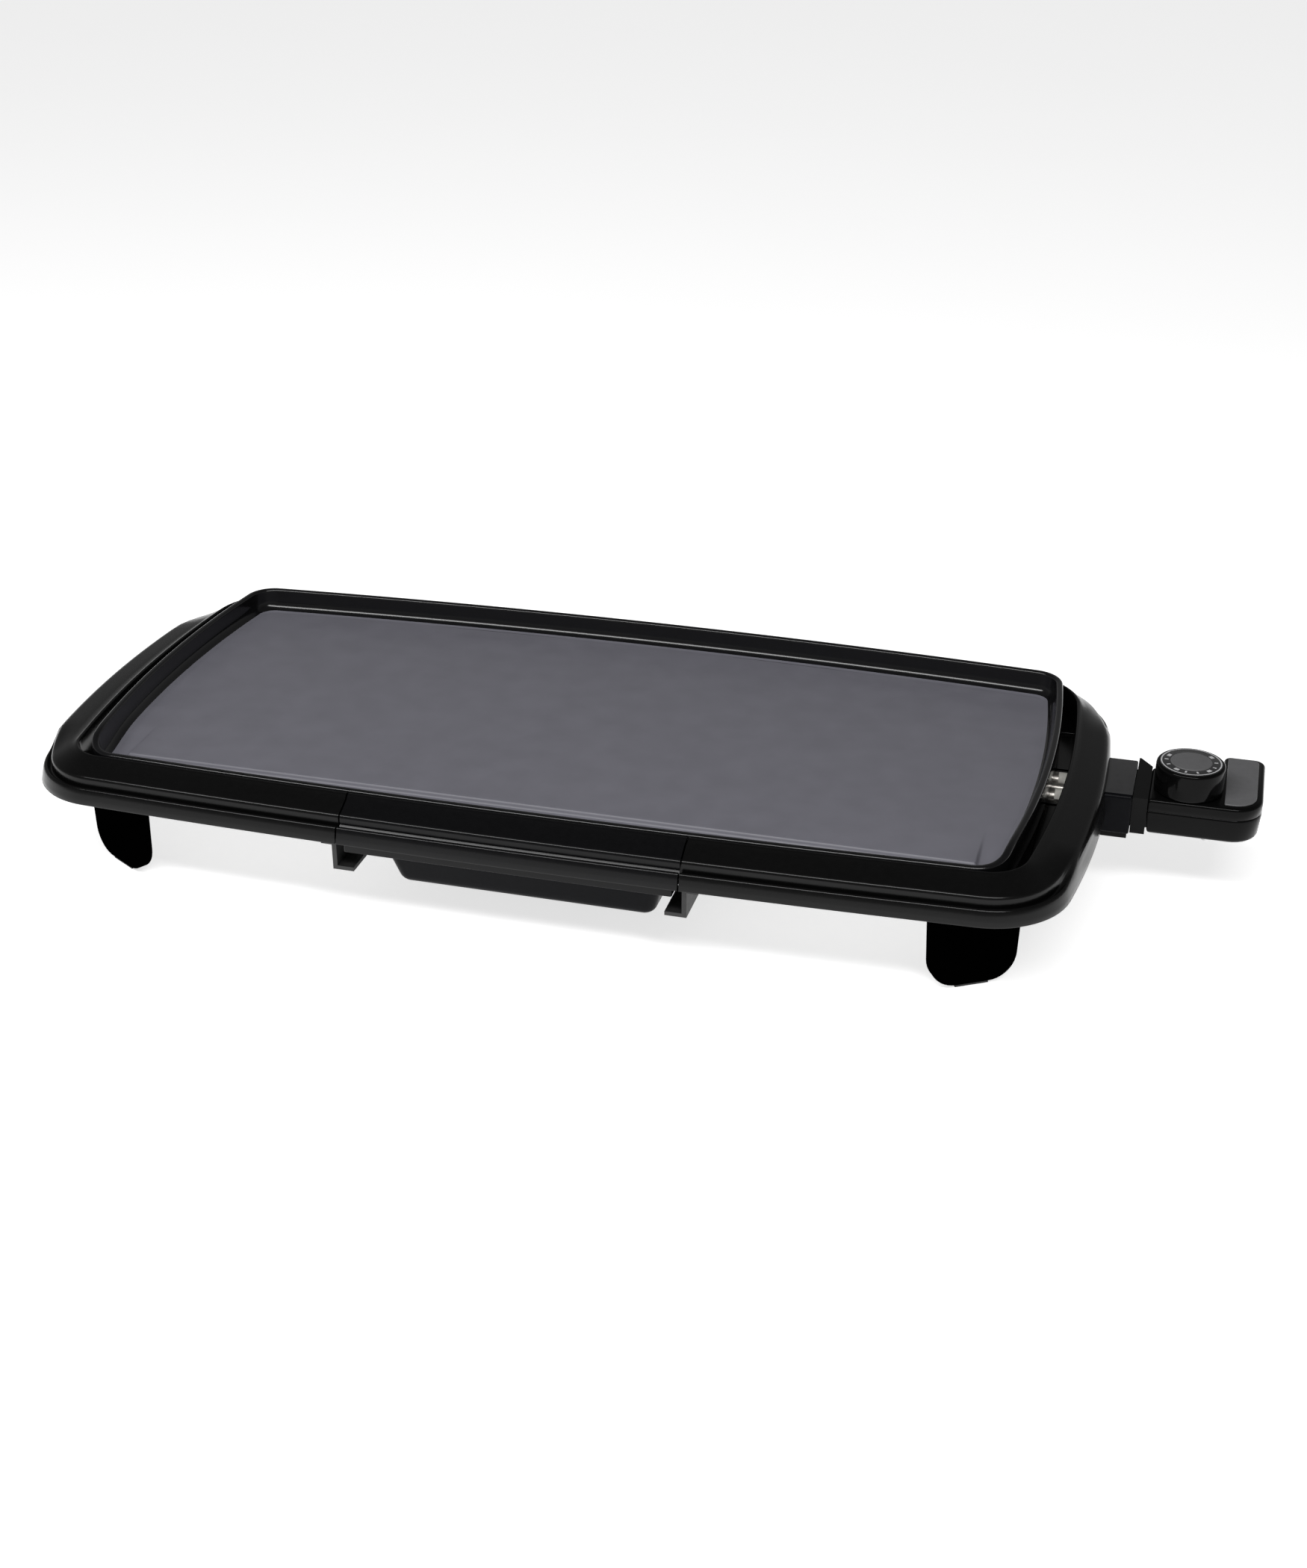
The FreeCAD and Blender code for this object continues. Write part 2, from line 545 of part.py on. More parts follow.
# ---------------------------------------------------------------- guard round the terminals
guard_raw = box("guard_block", "guard_x0", "guard_x1", "guard_y0", "guard_y1", "guard_bottom", "guard_top")
guard_round = soften("Part::Fillet", "guard_round", guard_raw,
                     lambda e: e.CenterOfMass.x > N["guard_x1"] - 0.1, 2.0)
guard_space = box("guard_space", "280", "310", "guard_y0 + 3", "guard_y1 - 3", "guard_bottom + 3", "guard_top - 3")
guard_under = box("guard_under", "275", "288", "-20", "50", "30", "skirt_bottom - 1.5")
PARTS["socket_guard"] = cut("socket_guard", guard_round, guard_space, guard_under, frame_cut)

# ---------------------------------------------------------------- tray rails
for tag, s in (("left", -1), ("right", 1)):
    body = doc.addObject("PartDesign::Body", "rail_section_" + tag)
    sign = "" if s > 0 else "-1 * "
    profile = [("rail_x - 9", "rail_foot"), ("rail_x + rail_web", "rail_foot"),
               ("rail_x + rail_web", "skirt_bottom - rail_web"), ("rail_x + 8.5", "skirt_bottom - rail_web"),
               ("rail_x + 8.5", "skirt_bottom"), ("rail_x", "skirt_bottom"),
               ("rail_x", "rail_foot + 2.2"), ("rail_x - 9", "rail_foot + 2.2")]
    profile = [("%s(%s)" % (sign, u), w) for u, w in profile]
    pad(body, "rail_pad_" + tag, outline(body, "rail_sketch_" + tag, "XZ_Plane", profile, "-132.0"), "275.0")
    notch_x = ("-110", "-80") if s < 0 else ("80", "110")
    notch = box("rail_notch_" + tag, notch_x[0], notch_x[1], "-open_front + 4", "open_back - 4", "46.8", "60")
    PARTS["tray_rail_" + tag] = cut("tray_rail_" + tag, body, notch)

# ---------------------------------------------------------------- drip tray
fascia_box = box("fascia_box", "-seam_x + seam_gap", "seam_x - seam_gap", "-160", "-open_front",
                 "skirt_bottom - 1", "80")
fascia_solid = common("fascia_solid", outer, fascia_box)
fascia_hollow = prism("fascia_hollow", [
    ("-frame_front + 3.2", "46"), ("-frame_front + 3.2", "56.6"), ("-frame_front + 8.6", "60.2"),
    ("-open_front + 1", "67.4"), ("-open_front + 1", "46")], "-seam_x + seam_gap + 2.4", "seam_x - seam_gap - 2.4")
bar_space = box("bar_space", "-seam_x", "seam_x", "-crossbar_back - 0.5", "-open_front + 1", "45", "crossbar_top + 0.6")
fascia = cut("fascia", fascia_solid, fascia_hollow, bar_space)
pan_body = doc.addObject("PartDesign::Body", "pan_body")


def pan_level(name, half, front, back, z):
    return outline(pan_body, name, "XY_Plane", [
        ("-1 * (%s)" % half, "-1 * (%s)" % front), (half, "-1 * (%s)" % front),
        (half, back), ("-1 * (%s)" % half, back)], z)


LEAN = "atan((tray_top_x - tray_bottom_x) / (tray_top - tray_bottom))"
high = pan_level("pan_high", "tray_top_x", "tray_front", "tray_back", "tray_top")
tub = pad(pan_body, "pan_tub", high, "tray_top - tray_bottom", reverse=True)
bind(tub, "TaperAngle", "-1 * " + LEAN)
doc.recompute()
round_edges(pan_body, "pan_corners",
            lambda e: abs(e.Vertexes[0].Point.z - e.Vertexes[-1].Point.z) > 5, "6.0")
round_edges(pan_body, "pan_foot", lambda e: is_level(e, N["tray_bottom"]), "4.0")
high_in = pan_level("pan_high_in", "tray_top_x - tray_wall", "tray_front - tray_wall",
                    "tray_back - tray_wall", "tray_top")
dig = pocket(pan_body, "pan_dig", high_in, "tray_top - tray_bottom - tray_wall")
bind(dig, "TaperAngle", "-1 * " + LEAN)
doc.recompute()
lips = []
for tag, x0, x1 in (("l", "-lip_x", "-tray_top_x + 1.5"), ("r", "tray_top_x - 1.5", "lip_x")):
    lips.append(box("lip_" + tag, x0, x1, "-tray_front + 6", "tray_back", "lip_under", "tray_top"))
front_wall = box("tray_front_wall", "-tray_top_x + 6", "tray_top_x - 6", "-tray_front", "-tray_front + 2.4",
                 "tray_top - 3", "48.4")
shelf = box("tray_shelf", "-seam_x + 4", "seam_x - 4", "-frame_front + 3.2", "-tray_front + 2.4", "46", "48.4")
skirt_web = box("tray_skirt_web", "-seam_x + 4", "seam_x - 4", "-frame_front + 2.6", "-frame_front + 5.4",
                "46", "56.6")
PARTS["drip_tray"] = fuse("drip_tray", fascia, pan_body, front_wall, shelf, skirt_web, *lips)

# ---------------------------------------------------------------- legs
LEG_SPOTS = [("front_left", -1, "-leg_y", -N["leg_turn"]), ("front_right", 1, "-leg_y", N["leg_turn"]),
             ("back_left", -1, "leg_back_y", N["leg_turn"]), ("back_right", 1, "leg_back_y", -N["leg_turn"])]
pads, leg_screws = [], []
for tag, sx, y, turn in LEG_SPOTS:
    body = doc.addObject("PartDesign::Body", "leg_" + tag)
    pad(body, "leg_pad_" + tag, outline(body, "leg_sketch_" + tag, "XZ_Plane", [
        ("leg_w0 * -0.5", "pad_h"), ("leg_w0 * 0.5", "pad_h"),
        ("leg_w1 * 0.5", "skirt_bottom"), ("leg_w1 * -0.5", "skirt_bottom")]), "leg_t", midplane=True)
    round_edges(body, "leg_round_" + tag,
                lambda e: is_level(e, N["pad_h"]) and abs(abs(e.CenterOfMass.x) - N["leg_w0"] / 2) < 0.1,
                "leg_corner")
    round_edges(body, "leg_soft_" + tag, lambda e: abs(abs(e.CenterOfMass.y) - N["leg_t"] / 2) < 0.01
                and e.CenterOfMass.z < N["skirt_bottom"] - 0.1, "1.6")
    for k in (-12.0, 12.0):
        sk = circle(body, "leg_tap_sketch_%s_%d" % (tag, k > 0), "XY_Plane", "%.1f" % k, "0", "1.7", "skirt_bottom")
        pocket(body, "leg_tap_%s_%d" % (tag, k > 0), sk, "12")
    body.Placement = FreeCAD.Placement(V(), FreeCAD.Rotation(V(0, 0, 1), turn))
    PARTS["leg_" + tag] = body
    rubber = box("pad_" + tag, "-9", "9", "-2.6", "2.6", "0", "pad_h")
    held = group("pad_turned_" + tag, rubber)
    held.Placement = FreeCAD.Placement(V(), FreeCAD.Rotation(V(0, 0, 1), turn))
    place(held, "leg_x" if sx > 0 else "-leg_x", y)
    pads.append(held)
    for k in (-12.0, 12.0):
        a = math.radians(turn)
        x = ("leg_x" if sx > 0 else "-leg_x") + " + %.3f" % (k * math.cos(a))
        yy = y + " + %.3f" % (k * math.sin(a))
        shank = rod("leg_screw_shank_%s_%d" % (tag, k > 0), "Z", x, yy, "gusset_top - 14", "1.65", "14.5")
        head = rod("leg_screw_head_%s_%d" % (tag, k > 0), "Z", x, yy, "gusset_top", "3.6", "2.2")
        leg_screws.append(fuse("leg_screw_%s_%d" % (tag, k > 0), shank, head))
PARTS["foot_pads"] = group("foot_pads", *pads)
PARTS["leg_screws"] = group("leg_screws", *leg_screws)

plate_screws = []
for i, (x, y) in enumerate(BOSSES):
    shank = rod("plate_screw_shank_%d" % i, "Z", str(x), str(y), "skirt_bottom - 0.5", "1.65", "6.5")
    head = rod("plate_screw_head_%d" % i, "Z", str(x), str(y), "skirt_bottom - 2.2", "4.0", "2.2")
    plate_screws.append(fuse("plate_screw_%d" % i, shank, head))
PARTS["plate_screws"] = group("plate_screws", *plate_screws)

# ---------------------------------------------------------------- control housing
PLAN = [("box_x0", "box_y0"), ("box_x1", "box_y0"), ("box_x1", "handle_y1"), ("handle_x0", "handle_y1"),
        ("handle_x0", "box_y1"), ("box_x0", "box_y1")]


def plan(inset):
    """The housing's plan, moved in by an inset."""
    a = " + " + inset
    b = " - " + inset
    moves = [(a, a), (b, a), (b, b), (a, b), (a, b), (a, b)]
    return [(u + du, w + dw) for (u, w), (du, dw) in zip(PLAN, moves)]


def plan_corner(edge, z):
    p = edge.CenterOfMass
    return (p.x > N["box_x1"] - 0.1 and is_upright(edge) and abs(p.z - z) < 0.2)


lower = doc.addObject("PartDesign::Body", "control_lower")
pad(lower, "lower_pad", outline(lower, "lower_sketch", "XY_Plane", plan("0"), "box_z0"), "box_z1 - box_z0")
mid = (N["box_z0"] + N["box_z1"]) / 2
round_edges(lower, "lower_corner", lambda e: plan_corner(e, mid) and e.CenterOfMass.y < 0, "14.0")
round_edges(lower, "lower_corner_b", lambda e: plan_corner(e, mid) and e.CenterOfMass.y > 0, "6.0")
round_edges(lower, "lower_soft", lambda e: is_level(e, N["box_z0"]) and e.CenterOfMass.x > N["box_x0"] + 0.1, "2.0")
pocket(lower, "lower_hollow", outline(lower, "lower_hollow_sketch", "XY_Plane", plan("box_wall"), "box_z1"),
       "box_z1 - box_z0 - box_wall")
for i, y in enumerate(("probe_y - pin_pitch", "probe_y", "probe_y + pin_pitch")):
    sk = circle(lower, "lower_port_sketch_%d" % i, "YZ_Plane", y, "element_z", "sleeve_r + 0.1", "box_x0 - 1")
    pocket(lower, "lower_port_%d" % i, sk, "box_wall + 2", reverse=True)
PARTS["control_lower"] = lower

upper = doc.addObject("PartDesign::Body", "control_upper")
pad(upper, "upper_pad", outline(upper, "upper_sketch", "XY_Plane", plan("0"), "box_z1"), "box_z2 - box_z1")
mid = (N["box_z1"] + N["box_z2"]) / 2
round_edges(upper, "upper_corner", lambda e: plan_corner(e, mid) and e.CenterOfMass.y < 0, "14.0")
round_edges(upper, "upper_corner_b", lambda e: plan_corner(e, mid) and e.CenterOfMass.y > 0, "6.0")
round_edges(upper, "upper_soft", lambda e: is_level(e, N["box_z2"]) and e.CenterOfMass.x > N["box_x0"] + 0.1, "1.5")
pocket(upper, "upper_hollow", outline(upper, "upper_hollow_sketch", "XY_Plane", plan("box_wall"), "box_z1"),
       "box_z2 - box_z1 - box_wall", reverse=True)
sk = circle(upper, "spindle_hole_sketch", "XY_Plane", "dial_x", "dial_y", "spindle_hole_r", "box_z2")
pocket(upper, "spindle_hole", sk, "5")
for i, y in enumerate(("probe_y - pin_pitch", "probe_y", "probe_y + pin_pitch")):
    sk = circle(upper, "upper_port_sketch_%d" % i, "YZ_Plane", y, "element_z", "sleeve_r + 0.1", "box_x0 - 1")
    pocket(upper, "upper_port_%d" % i, sk, "box_wall + 2", reverse=True)
PARTS["control_upper"] = upper

cover = doc.addObject("PartDesign::Body", "handle_cover")
pad(cover, "cover_pad", outline(cover, "cover_sketch", "XY_Plane", [
    ("handle_x0 + 3", "box_y0 + 3.5"), ("box_x1 - 3", "box_y0 + 3.5"), ("box_x1 - 3", "handle_y1 - 3"),
    ("handle_x0 + 3", "handle_y1 - 3")], "box_z2"), "0.8")
round_edges(cover, "cover_corner", lambda e: is_upright(e) and e.CenterOfMass.x > 360 and e.CenterOfMass.y < 0,
            "11.0")
PARTS["handle_cover"] = cover

flange = doc.addObject("PartDesign::Body", "control_flange")
pad(flange, "flange_pad", outline(flange, "flange_sketch", "XY_Plane", [
    ("flange_x0", "box_y0"), ("box_x0", "box_y0"), ("box_x0", "box_y1"), ("flange_x0 + 1.0", "44"),
    ("flange_x0", "44")], "box_z0"), "box_z2 - box_z0")
for i, y in enumerate(("probe_y - pin_pitch", "probe_y", "probe_y + pin_pitch")):
    sk = circle(flange, "flange_port_sketch_%d" % i, "YZ_Plane", y, "element_z", "sleeve_r + 0.1", "flange_x0 - 1")
    pocket(flange, "flange_port_%d" % i, sk, "12", reverse=True)
PARTS["control_flange"] = flange

# ---------------------------------------------------------------- probe and contacts
probe_shank = rod("probe_shank", "X", "238", "probe_y", "element_z", "probe_r", "76")
probe_tip = cone("probe_tip", "-X", "238", "probe_y", "element_z", "probe_r", "probe_r - 1.2", "1.6")
PARTS["probe_tube"] = fuse("probe_tube", probe_shank, probe_tip)
sleeves = []
for tag, y in (("0", "probe_y - pin_pitch"), ("1", "probe_y + pin_pitch")):
    outer_sleeve = rod("sleeve_" + tag, "X", "272", y, "element_z", "sleeve_r", "42")
    inner_sleeve = rod("sleeve_bore_" + tag, "X", "271", y, "element_z", "sleeve_bore_r", "32")
    sleeves.append(cut("contact_sleeve_" + tag, outer_sleeve, inner_sleeve))
PARTS["contact_sleeves"] = group("contact_sleeves", *sleeves)

block = box("block_body", "314.0", "320.0", "box_y0 + box_wall + 0.5", "box_y1 - box_wall - 6", "box_z0 + box_wall", "59")
block_slot = box("block_slot", "313", "321", "dial_y - 4", "dial_y + 4", "56.5", "60")
PARTS["ceramic_block"] = cut("ceramic_block", block, block_slot)
leaf = box("leaf_blade", "320", "344", "dial_y + 6.5", "dial_y + 10", "47", "47.6")
leaf_tip = rod("leaf_contact", "Z", "341", "dial_y + 8.2", "47.6", "1.5", "0.8")
PARTS["contact_leaf"] = fuse("contact_leaf", leaf, leaf_tip)
strip = box("strip_blade", "320", "344", "dial_y - 3", "dial_y + 3", "45.2", "46.2")
PARTS["bimetal_strip"] = strip
gland_ring = rod("gland_ring", "Y", "359", "handle_y1 - 2.0", "48.6", "5.4", "9.0")
gland_hole = rod("gland_hole", "Y", "359", "handle_y1 - 4", "48.6", "3.4", "14.0")
screw_heads = []
for i, (x, y) in enumerate(((316.5, 29.8), (364.0, 30.0), (353.0, 54.0), (343.0, 0.3))):
    screw_heads.append(rod("housing_screw_%d" % i, "Z", str(x), str(y), "box_z0 - 0.8", "2.6", "4.6"))
PARTS["control_screws"] = group("control_screws", *screw_heads)
PARTS["cord_gland"] = cut("cord_gland", gland_ring, gland_hole)

# the lower shell is opened for the gland and the screws
ports = [rod("gland_port", "Y", "359", "handle_y1 - 6", "48.6", "5.4", "9")]
for i, (x, y) in enumerate(((316.5, 29.8), (364.0, 30.0), (353.0, 54.0), (343.0, 0.3))):
    ports.append(rod("screw_port_%d" % i, "Z", str(x), str(y), "box_z0 - 1", "2.6", "4"))
PARTS["control_lower"] = cut("control_lower_shell", lower, *ports)

# ---------------------------------------------------------------- dial
knob = doc.addObject("PartDesign::Body", "dial_knob")
pad(knob, "knob_pad", circle(knob, "knob_sketch", "XY_Plane", "dial_x", "dial_y", "dial_r", "dial_z0"),
    "dial_z1 - dial_z0")
round_edges(knob, "knob_top", lambda e: near(e, z=N["dial_z1"], tol=0.01), "1.2")
sk = circle(knob, "knob_hollow_sketch", "XY_Plane", "dial_x", "dial_y", "dial_r - 2.4", "dial_z0")
pocket(knob, "knob_hollow", sk, "8.0", reverse=True)
pad(knob, "knob_boss", circle(knob, "knob_boss_sketch", "XY_Plane", "dial_x", "dial_y", "6.5", "dial_z0 + 0.8"),
    "dial_z1 - dial_z0 - 4")
sk = circle(knob, "knob_bore_sketch", "XY_Plane", "dial_x", "dial_y", "spindle_r", "dial_z0")
pocket(knob, "knob_bore", sk, "11.5", reverse=True)
PARTS["dial_knob"] = knob

ring_out = rod("ring_out", "Z", "dial_x", "dial_y", "dial_z1", "dial_r - 1.6", "0.5")
ring_in = rod("ring_in", "Z", "dial_x", "dial_y", "dial_z1 - 1", "dial_r - 7.2", "3")
PARTS["dial_ring"] = cut("dial_ring", ring_out, ring_in)
PARTS["dial_cap"] = rod("dial_cap", "Z", "dial_x", "dial_y", "dial_z1", "dial_r - 7.4", "0.7")
spindle_rod = rod("spindle_rod", "Z", "dial_x", "dial_y", "48.5", "spindle_r", "dial_z0 + 11.4 - 48.5")
spindle_collar = rod("spindle_collar", "Z", "dial_x", "dial_y", "57.8", "4.4", "1.6")
PARTS["dial_spindle"] = fuse("dial_spindle", spindle_rod, spindle_collar)
nut_block = box("nut_block", "dial_x - 6.5", "dial_x + 6.5", "dial_y - 5", "dial_y + 5", "50.2", "54.2")
nut_bore = rod("nut_bore", "Z", "dial_x", "dial_y", "48", "spindle_hole_r", "10")
PARTS["adjuster_nut"] = cut("adjuster_nut", nut_block, nut_bore)

# ---------------------------------------------------------------- place, check, write
doc.recompute()
for tag, sx, y, turn in LEG_SPOTS:
    place(PARTS["leg_" + tag], ("leg_x" if sx > 0 else "-leg_x") + " + shift_x", y + " + shift_y", "0")
for node, obj in PARTS.items():
    if node.startswith("leg_") and node != "leg_screws":
        continue
    if obj.TypeId == "Part::Box" or obj.TypeId == "Part::Cylinder":
        obj = group(node + "_placed", obj)
        PARTS[node] = obj
    place(obj, "shift_x", "shift_y", "0")
doc.recompute()

os.makedirs("parts", exist_ok=True)
bad = []
for obj in doc.Objects:
    if any(word in state for state in obj.State for word in ("Invalid", "Error")):
        bad.append("%s: %s" % (obj.Name, obj.State))
for node, obj in PARTS.items():
    obj.Label = node
    if obj.Shape.isNull() or not obj.Shape.isValid() or obj.Shape.Volume <= 0:
        bad.append("%s has no valid shape" % node)
if bad:
    raise RuntimeError("; ".join(bad))
for node, obj in PARTS.items():
    obj.Shape.exportStep("parts/%s.step" % node)
    b = obj.Shape.BoundBox
    print("%-18s solids %2d  x %8.2f %8.2f  y %8.2f %8.2f  z %6.2f %6.2f  vol %10.1f" % (
        node, len(obj.Shape.Solids), b.XMin, b.XMax, b.YMin, b.YMax, b.ZMin, b.ZMax, obj.Shape.Volume))
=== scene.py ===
import math

import bmesh
import bpy
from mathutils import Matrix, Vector


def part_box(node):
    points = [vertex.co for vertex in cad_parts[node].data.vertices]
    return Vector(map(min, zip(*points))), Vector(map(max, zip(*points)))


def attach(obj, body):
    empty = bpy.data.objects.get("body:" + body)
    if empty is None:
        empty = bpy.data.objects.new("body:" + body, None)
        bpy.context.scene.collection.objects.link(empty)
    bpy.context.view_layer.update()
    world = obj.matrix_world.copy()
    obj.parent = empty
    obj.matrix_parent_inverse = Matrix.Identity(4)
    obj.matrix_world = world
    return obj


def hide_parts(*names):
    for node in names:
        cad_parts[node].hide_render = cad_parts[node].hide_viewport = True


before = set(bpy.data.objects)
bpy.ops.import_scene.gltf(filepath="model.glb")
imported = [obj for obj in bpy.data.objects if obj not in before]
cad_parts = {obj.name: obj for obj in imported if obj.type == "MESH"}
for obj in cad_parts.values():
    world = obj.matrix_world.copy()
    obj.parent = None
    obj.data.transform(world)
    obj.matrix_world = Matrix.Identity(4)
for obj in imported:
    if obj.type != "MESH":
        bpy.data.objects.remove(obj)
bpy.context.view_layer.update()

# Design coordinates are millimetres with x = y = 0 at the middle of the plate and z = 0 on the table.
plate_lo, plate_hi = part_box("griddle_plate")
SHIFT_X = (plate_lo.x + plate_hi.x) / 2
SHIFT_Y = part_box("tray_rail_left")[0].y + 0.143


def P(x, y, z):
    return Vector((x / 1000 + SHIFT_X, y / 1000 + SHIFT_Y, z / 1000))


# ------------------------------------------------------------------ materials
def material(name, base, rough, metallic=0.0, spread=0.12, scale=300.0, bump=0.0,
             bump_scale=1500.0, spec=0.5, glow=0.0):
    """Principled material whose colour and roughness drift a little with a noise texture."""
    m = bpy.data.materials.new(name)
    m.use_nodes = True
    nt = m.node_tree
    b = nt.nodes["Principled BSDF"]
    coords = nt.nodes.new("ShaderNodeTexCoord")
    noise = nt.nodes.new("ShaderNodeTexNoise")
    noise.inputs["Scale"].default_value = scale
    noise.inputs["Detail"].default_value = 4.0
    nt.links.new(coords.outputs["Object"], noise.inputs["Vector"])
    ramp = nt.nodes.new("ShaderNodeValToRGB")
    ramp.color_ramp.elements[0].position = 0.3
    ramp.color_ramp.elements[1].position = 0.7
    ramp.color_ramp.elements[0].color = [c * (1 - spread) for c in base] + [1]
    ramp.color_ramp.elements[1].color = [min(1, c * (1 + spread)) for c in base] + [1]
    nt.links.new(noise.outputs["Fac"], ramp.inputs["Fac"])
    nt.links.new(ramp.outputs["Color"], b.inputs["Base Color"])
    span = nt.nodes.new("ShaderNodeMapRange")
    span.inputs["To Min"].default_value = rough * 0.9
    span.inputs["To Max"].default_value = rough * 1.1
    nt.links.new(noise.outputs["Fac"], span.inputs["Value"])
    nt.links.new(span.outputs["Result"], b.inputs["Roughness"])
    b.inputs["Metallic"].default_value = metallic
    b.inputs["Specular IOR Level"].default_value = spec
    if glow:
        b.inputs["Emission Color"].default_value = list(base) + [1]
        b.inputs["Emission Strength"].default_value = glow
    if bump:
        fine = nt.nodes.new("ShaderNodeTexNoise")
        fine.inputs["Scale"].default_value = bump_scale
        fine.inputs["Detail"].default_value = 2.0
        nt.links.new(coords.outputs["Object"], fine.inputs["Vector"])
        push = nt.nodes.new("ShaderNodeBump")
        push.inputs["Strength"].default_value = bump
        push.inputs["Distance"].default_value = 0.0002
        nt.links.new(fine.outputs["Fac"], push.inputs["Height"])
        nt.links.new(push.outputs["Normal"], b.inputs["Normal"])
    return m


FRAME_BLACK = material("frame_black", (0.0025, 0.0025, 0.0025), 0.2, spec=0.22, bump=0.03)
TRAY_BLACK = material("tray_black", (0.003, 0.003, 0.0034), 0.2, spec=0.2, bump=0.03)
LEG_BLACK = material("leg_black", (0.0003, 0.0003, 0.0003), 0.5, spec=0.0, bump=0.02)
PAN_BLACK = material("pan_black", (0.0035, 0.0036, 0.0045), 0.3, spec=0.05, bump=0.03)
RAIL_BLACK = material("rail_black", (0.012, 0.012, 0.012), 0.5)
CONTROL_BLACK = material("control_black", (0.0022, 0.0022, 0.0022), 0.12, spec=0.1)
GUARD_TOP = material("guard_satin", (0.03, 0.03, 0.031), 0.45, bump=0.1, bump_scale=3000)
NONSTICK = material("nonstick", (0.158, 0.156, 0.182), 0.42, spread=0.05, scale=60, bump=0.12,
                    bump_scale=4000)
RIM_BLACK = material("rim_black", (0.004, 0.004, 0.0045), 0.16, spec=0.42, bump=0.03)
CAST = material("cast_underside", (0.30, 0.30, 0.30), 0.45, metallic=0.8, bump=0.4)
STEEL = material("sheath", (0.42, 0.40, 0.37), 0.35, metallic=1.0, bump=0.1)
NICKEL = material("nickel", (0.75, 0.73, 0.70), 0.18, metallic=1.0)
ZINC = material("zinc", (0.62, 0.62, 0.62), 0.3, metallic=1.0)
BRASS = material("brass", (0.75, 0.56, 0.28), 0.3, metallic=1.0)
CERAMIC = material("steatite", (0.80, 0.78, 0.72), 0.6, bump=0.2)
RUBBER = material("rubber", (0.02, 0.02, 0.02), 0.7, bump=0.3)
SATIN_GREY = material("satin_grey", (0.125, 0.125, 0.129), 0.4, spread=0.06, bump=0.1, bump_scale=3000)
CAP_GREY = material("cap_grey", (0.115, 0.115, 0.118), 0.45, spread=0.06, bump=0.1, bump_scale=3000)
PRINT_LIGHT = material("print_light", (0.55, 0.55, 0.56), 0.5)
DIAL_DARK = material("dial_dark", (0.03, 0.03, 0.031), 0.4)

CAD_FINISH = {
    "heating_element": STEEL, "terminal_pins": NICKEL, "terminal_seals": CERAMIC,
    "tray_rail_left": RAIL_BLACK, "tray_rail_right": RAIL_BLACK, "foot_pads": RUBBER,
    "leg_screws": ZINC, "plate_screws": ZINC, "probe_tube": STEEL, "contact_sleeves": NICKEL,
    "ceramic_block": CERAMIC, "contact_leaf": BRASS, "bimetal_strip": BRASS,
    "cord_gland": RUBBER, "control_screws": ZINC, "dial_spindle": ZINC, "adjuster_nut": BRASS,
    "control_flange": CONTROL_BLACK, "dial_ring": DIAL_DARK,
}
for node, finish in CAD_FINISH.items():
    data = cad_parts[node].data
    data.materials.clear()
    data.materials.append(finish)


# ------------------------------------------------------------------ mesh helpers
def make(name, verts, faces, finishes, body, slot=None, replaced=(), face_finish=None, smooth=40.0):
    """A mesh object from design millimetres; face_finish picks the material of each face."""
    mesh = bpy.data.meshes.new(name)
    mesh.from_pydata([P(*v) for v in verts], [], faces)
    for f in finishes:
        mesh.materials.append(f)
    if face_finish:
        for poly, index in zip(mesh.polygons, face_finish):
            poly.material_index = index
    bm = bmesh.new()
    bm.from_mesh(mesh)
    bmesh.ops.recalc_face_normals(bm, faces=bm.faces)
    bm.to_mesh(mesh)
    bm.free()
    mesh.shade_smooth()
    mesh.set_sharp_from_angle(angle=math.radians(smooth))
    obj = bpy.data.objects.new(name, mesh)
    bpy.context.scene.collection.objects.link(obj)
    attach(obj, body)
    if replaced:
        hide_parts(*replaced)
    return obj


def bevel(obj, width, segments=3, angle=35.0):
    mod = obj.modifiers.new("bevel", "BEVEL")
    mod.width = width / 1000
    mod.segments = segments
    mod.limit_method = "ANGLE"
    mod.angle_limit = math.radians(angle)
    mod.harden_normals = True
    return obj


def lerp(a, b, t):
    return a + (b - a) * t


def smooth(a, b, v):
    t = min(1.0, max(0.0, (v - a) / (b - a)))
    return t * t * (3 - 2 * t)


OUTLINES = {
    # half length, y of the widest place, front, back, bow radii of end, front, back,
    # corner radii front and back
    "frame": (290.0, 0.0, 147.5, 136.5, 660.0, 5500.0, 4000.0, 44.0, 56.0),
    "opening": (268.0, 12.0, 126.4, 129.0, 735.0, 5500.0, 3000.0, 21.0, 38.0),
    "plate": (260.0, 12.0, 125.0, 126.4, 735.0, 5500.0, 3000.0, 19.0, 17.0),
}
FRONT_X = [92.2 * k / 8 for k in range(8)] + [91.3, 92.2] + [92.2 + 16 * k for k in range(1, 7)]


def cross(c0, r0, c1, r1, sx, sy):
    """The crossing of two circles in the quadrant (sx, sy)."""
    dx, dy = c1[0] - c0[0], c1[1] - c0[1]
    d = math.hypot(dx, dy)
    a = (r0 * r0 - r1 * r1 + d * d) / (2 * d)
    h = math.sqrt(r0 * r0 - a * a)
    mx, my = c0[0] + a * dx / d, c0[1] + a * dy / d
    for s in (-1, 1):
        x, y = mx - s * h * dy / d, my + s * h * dx / d
        if x * sx > 0 and y * sy > 0:
            return x, y


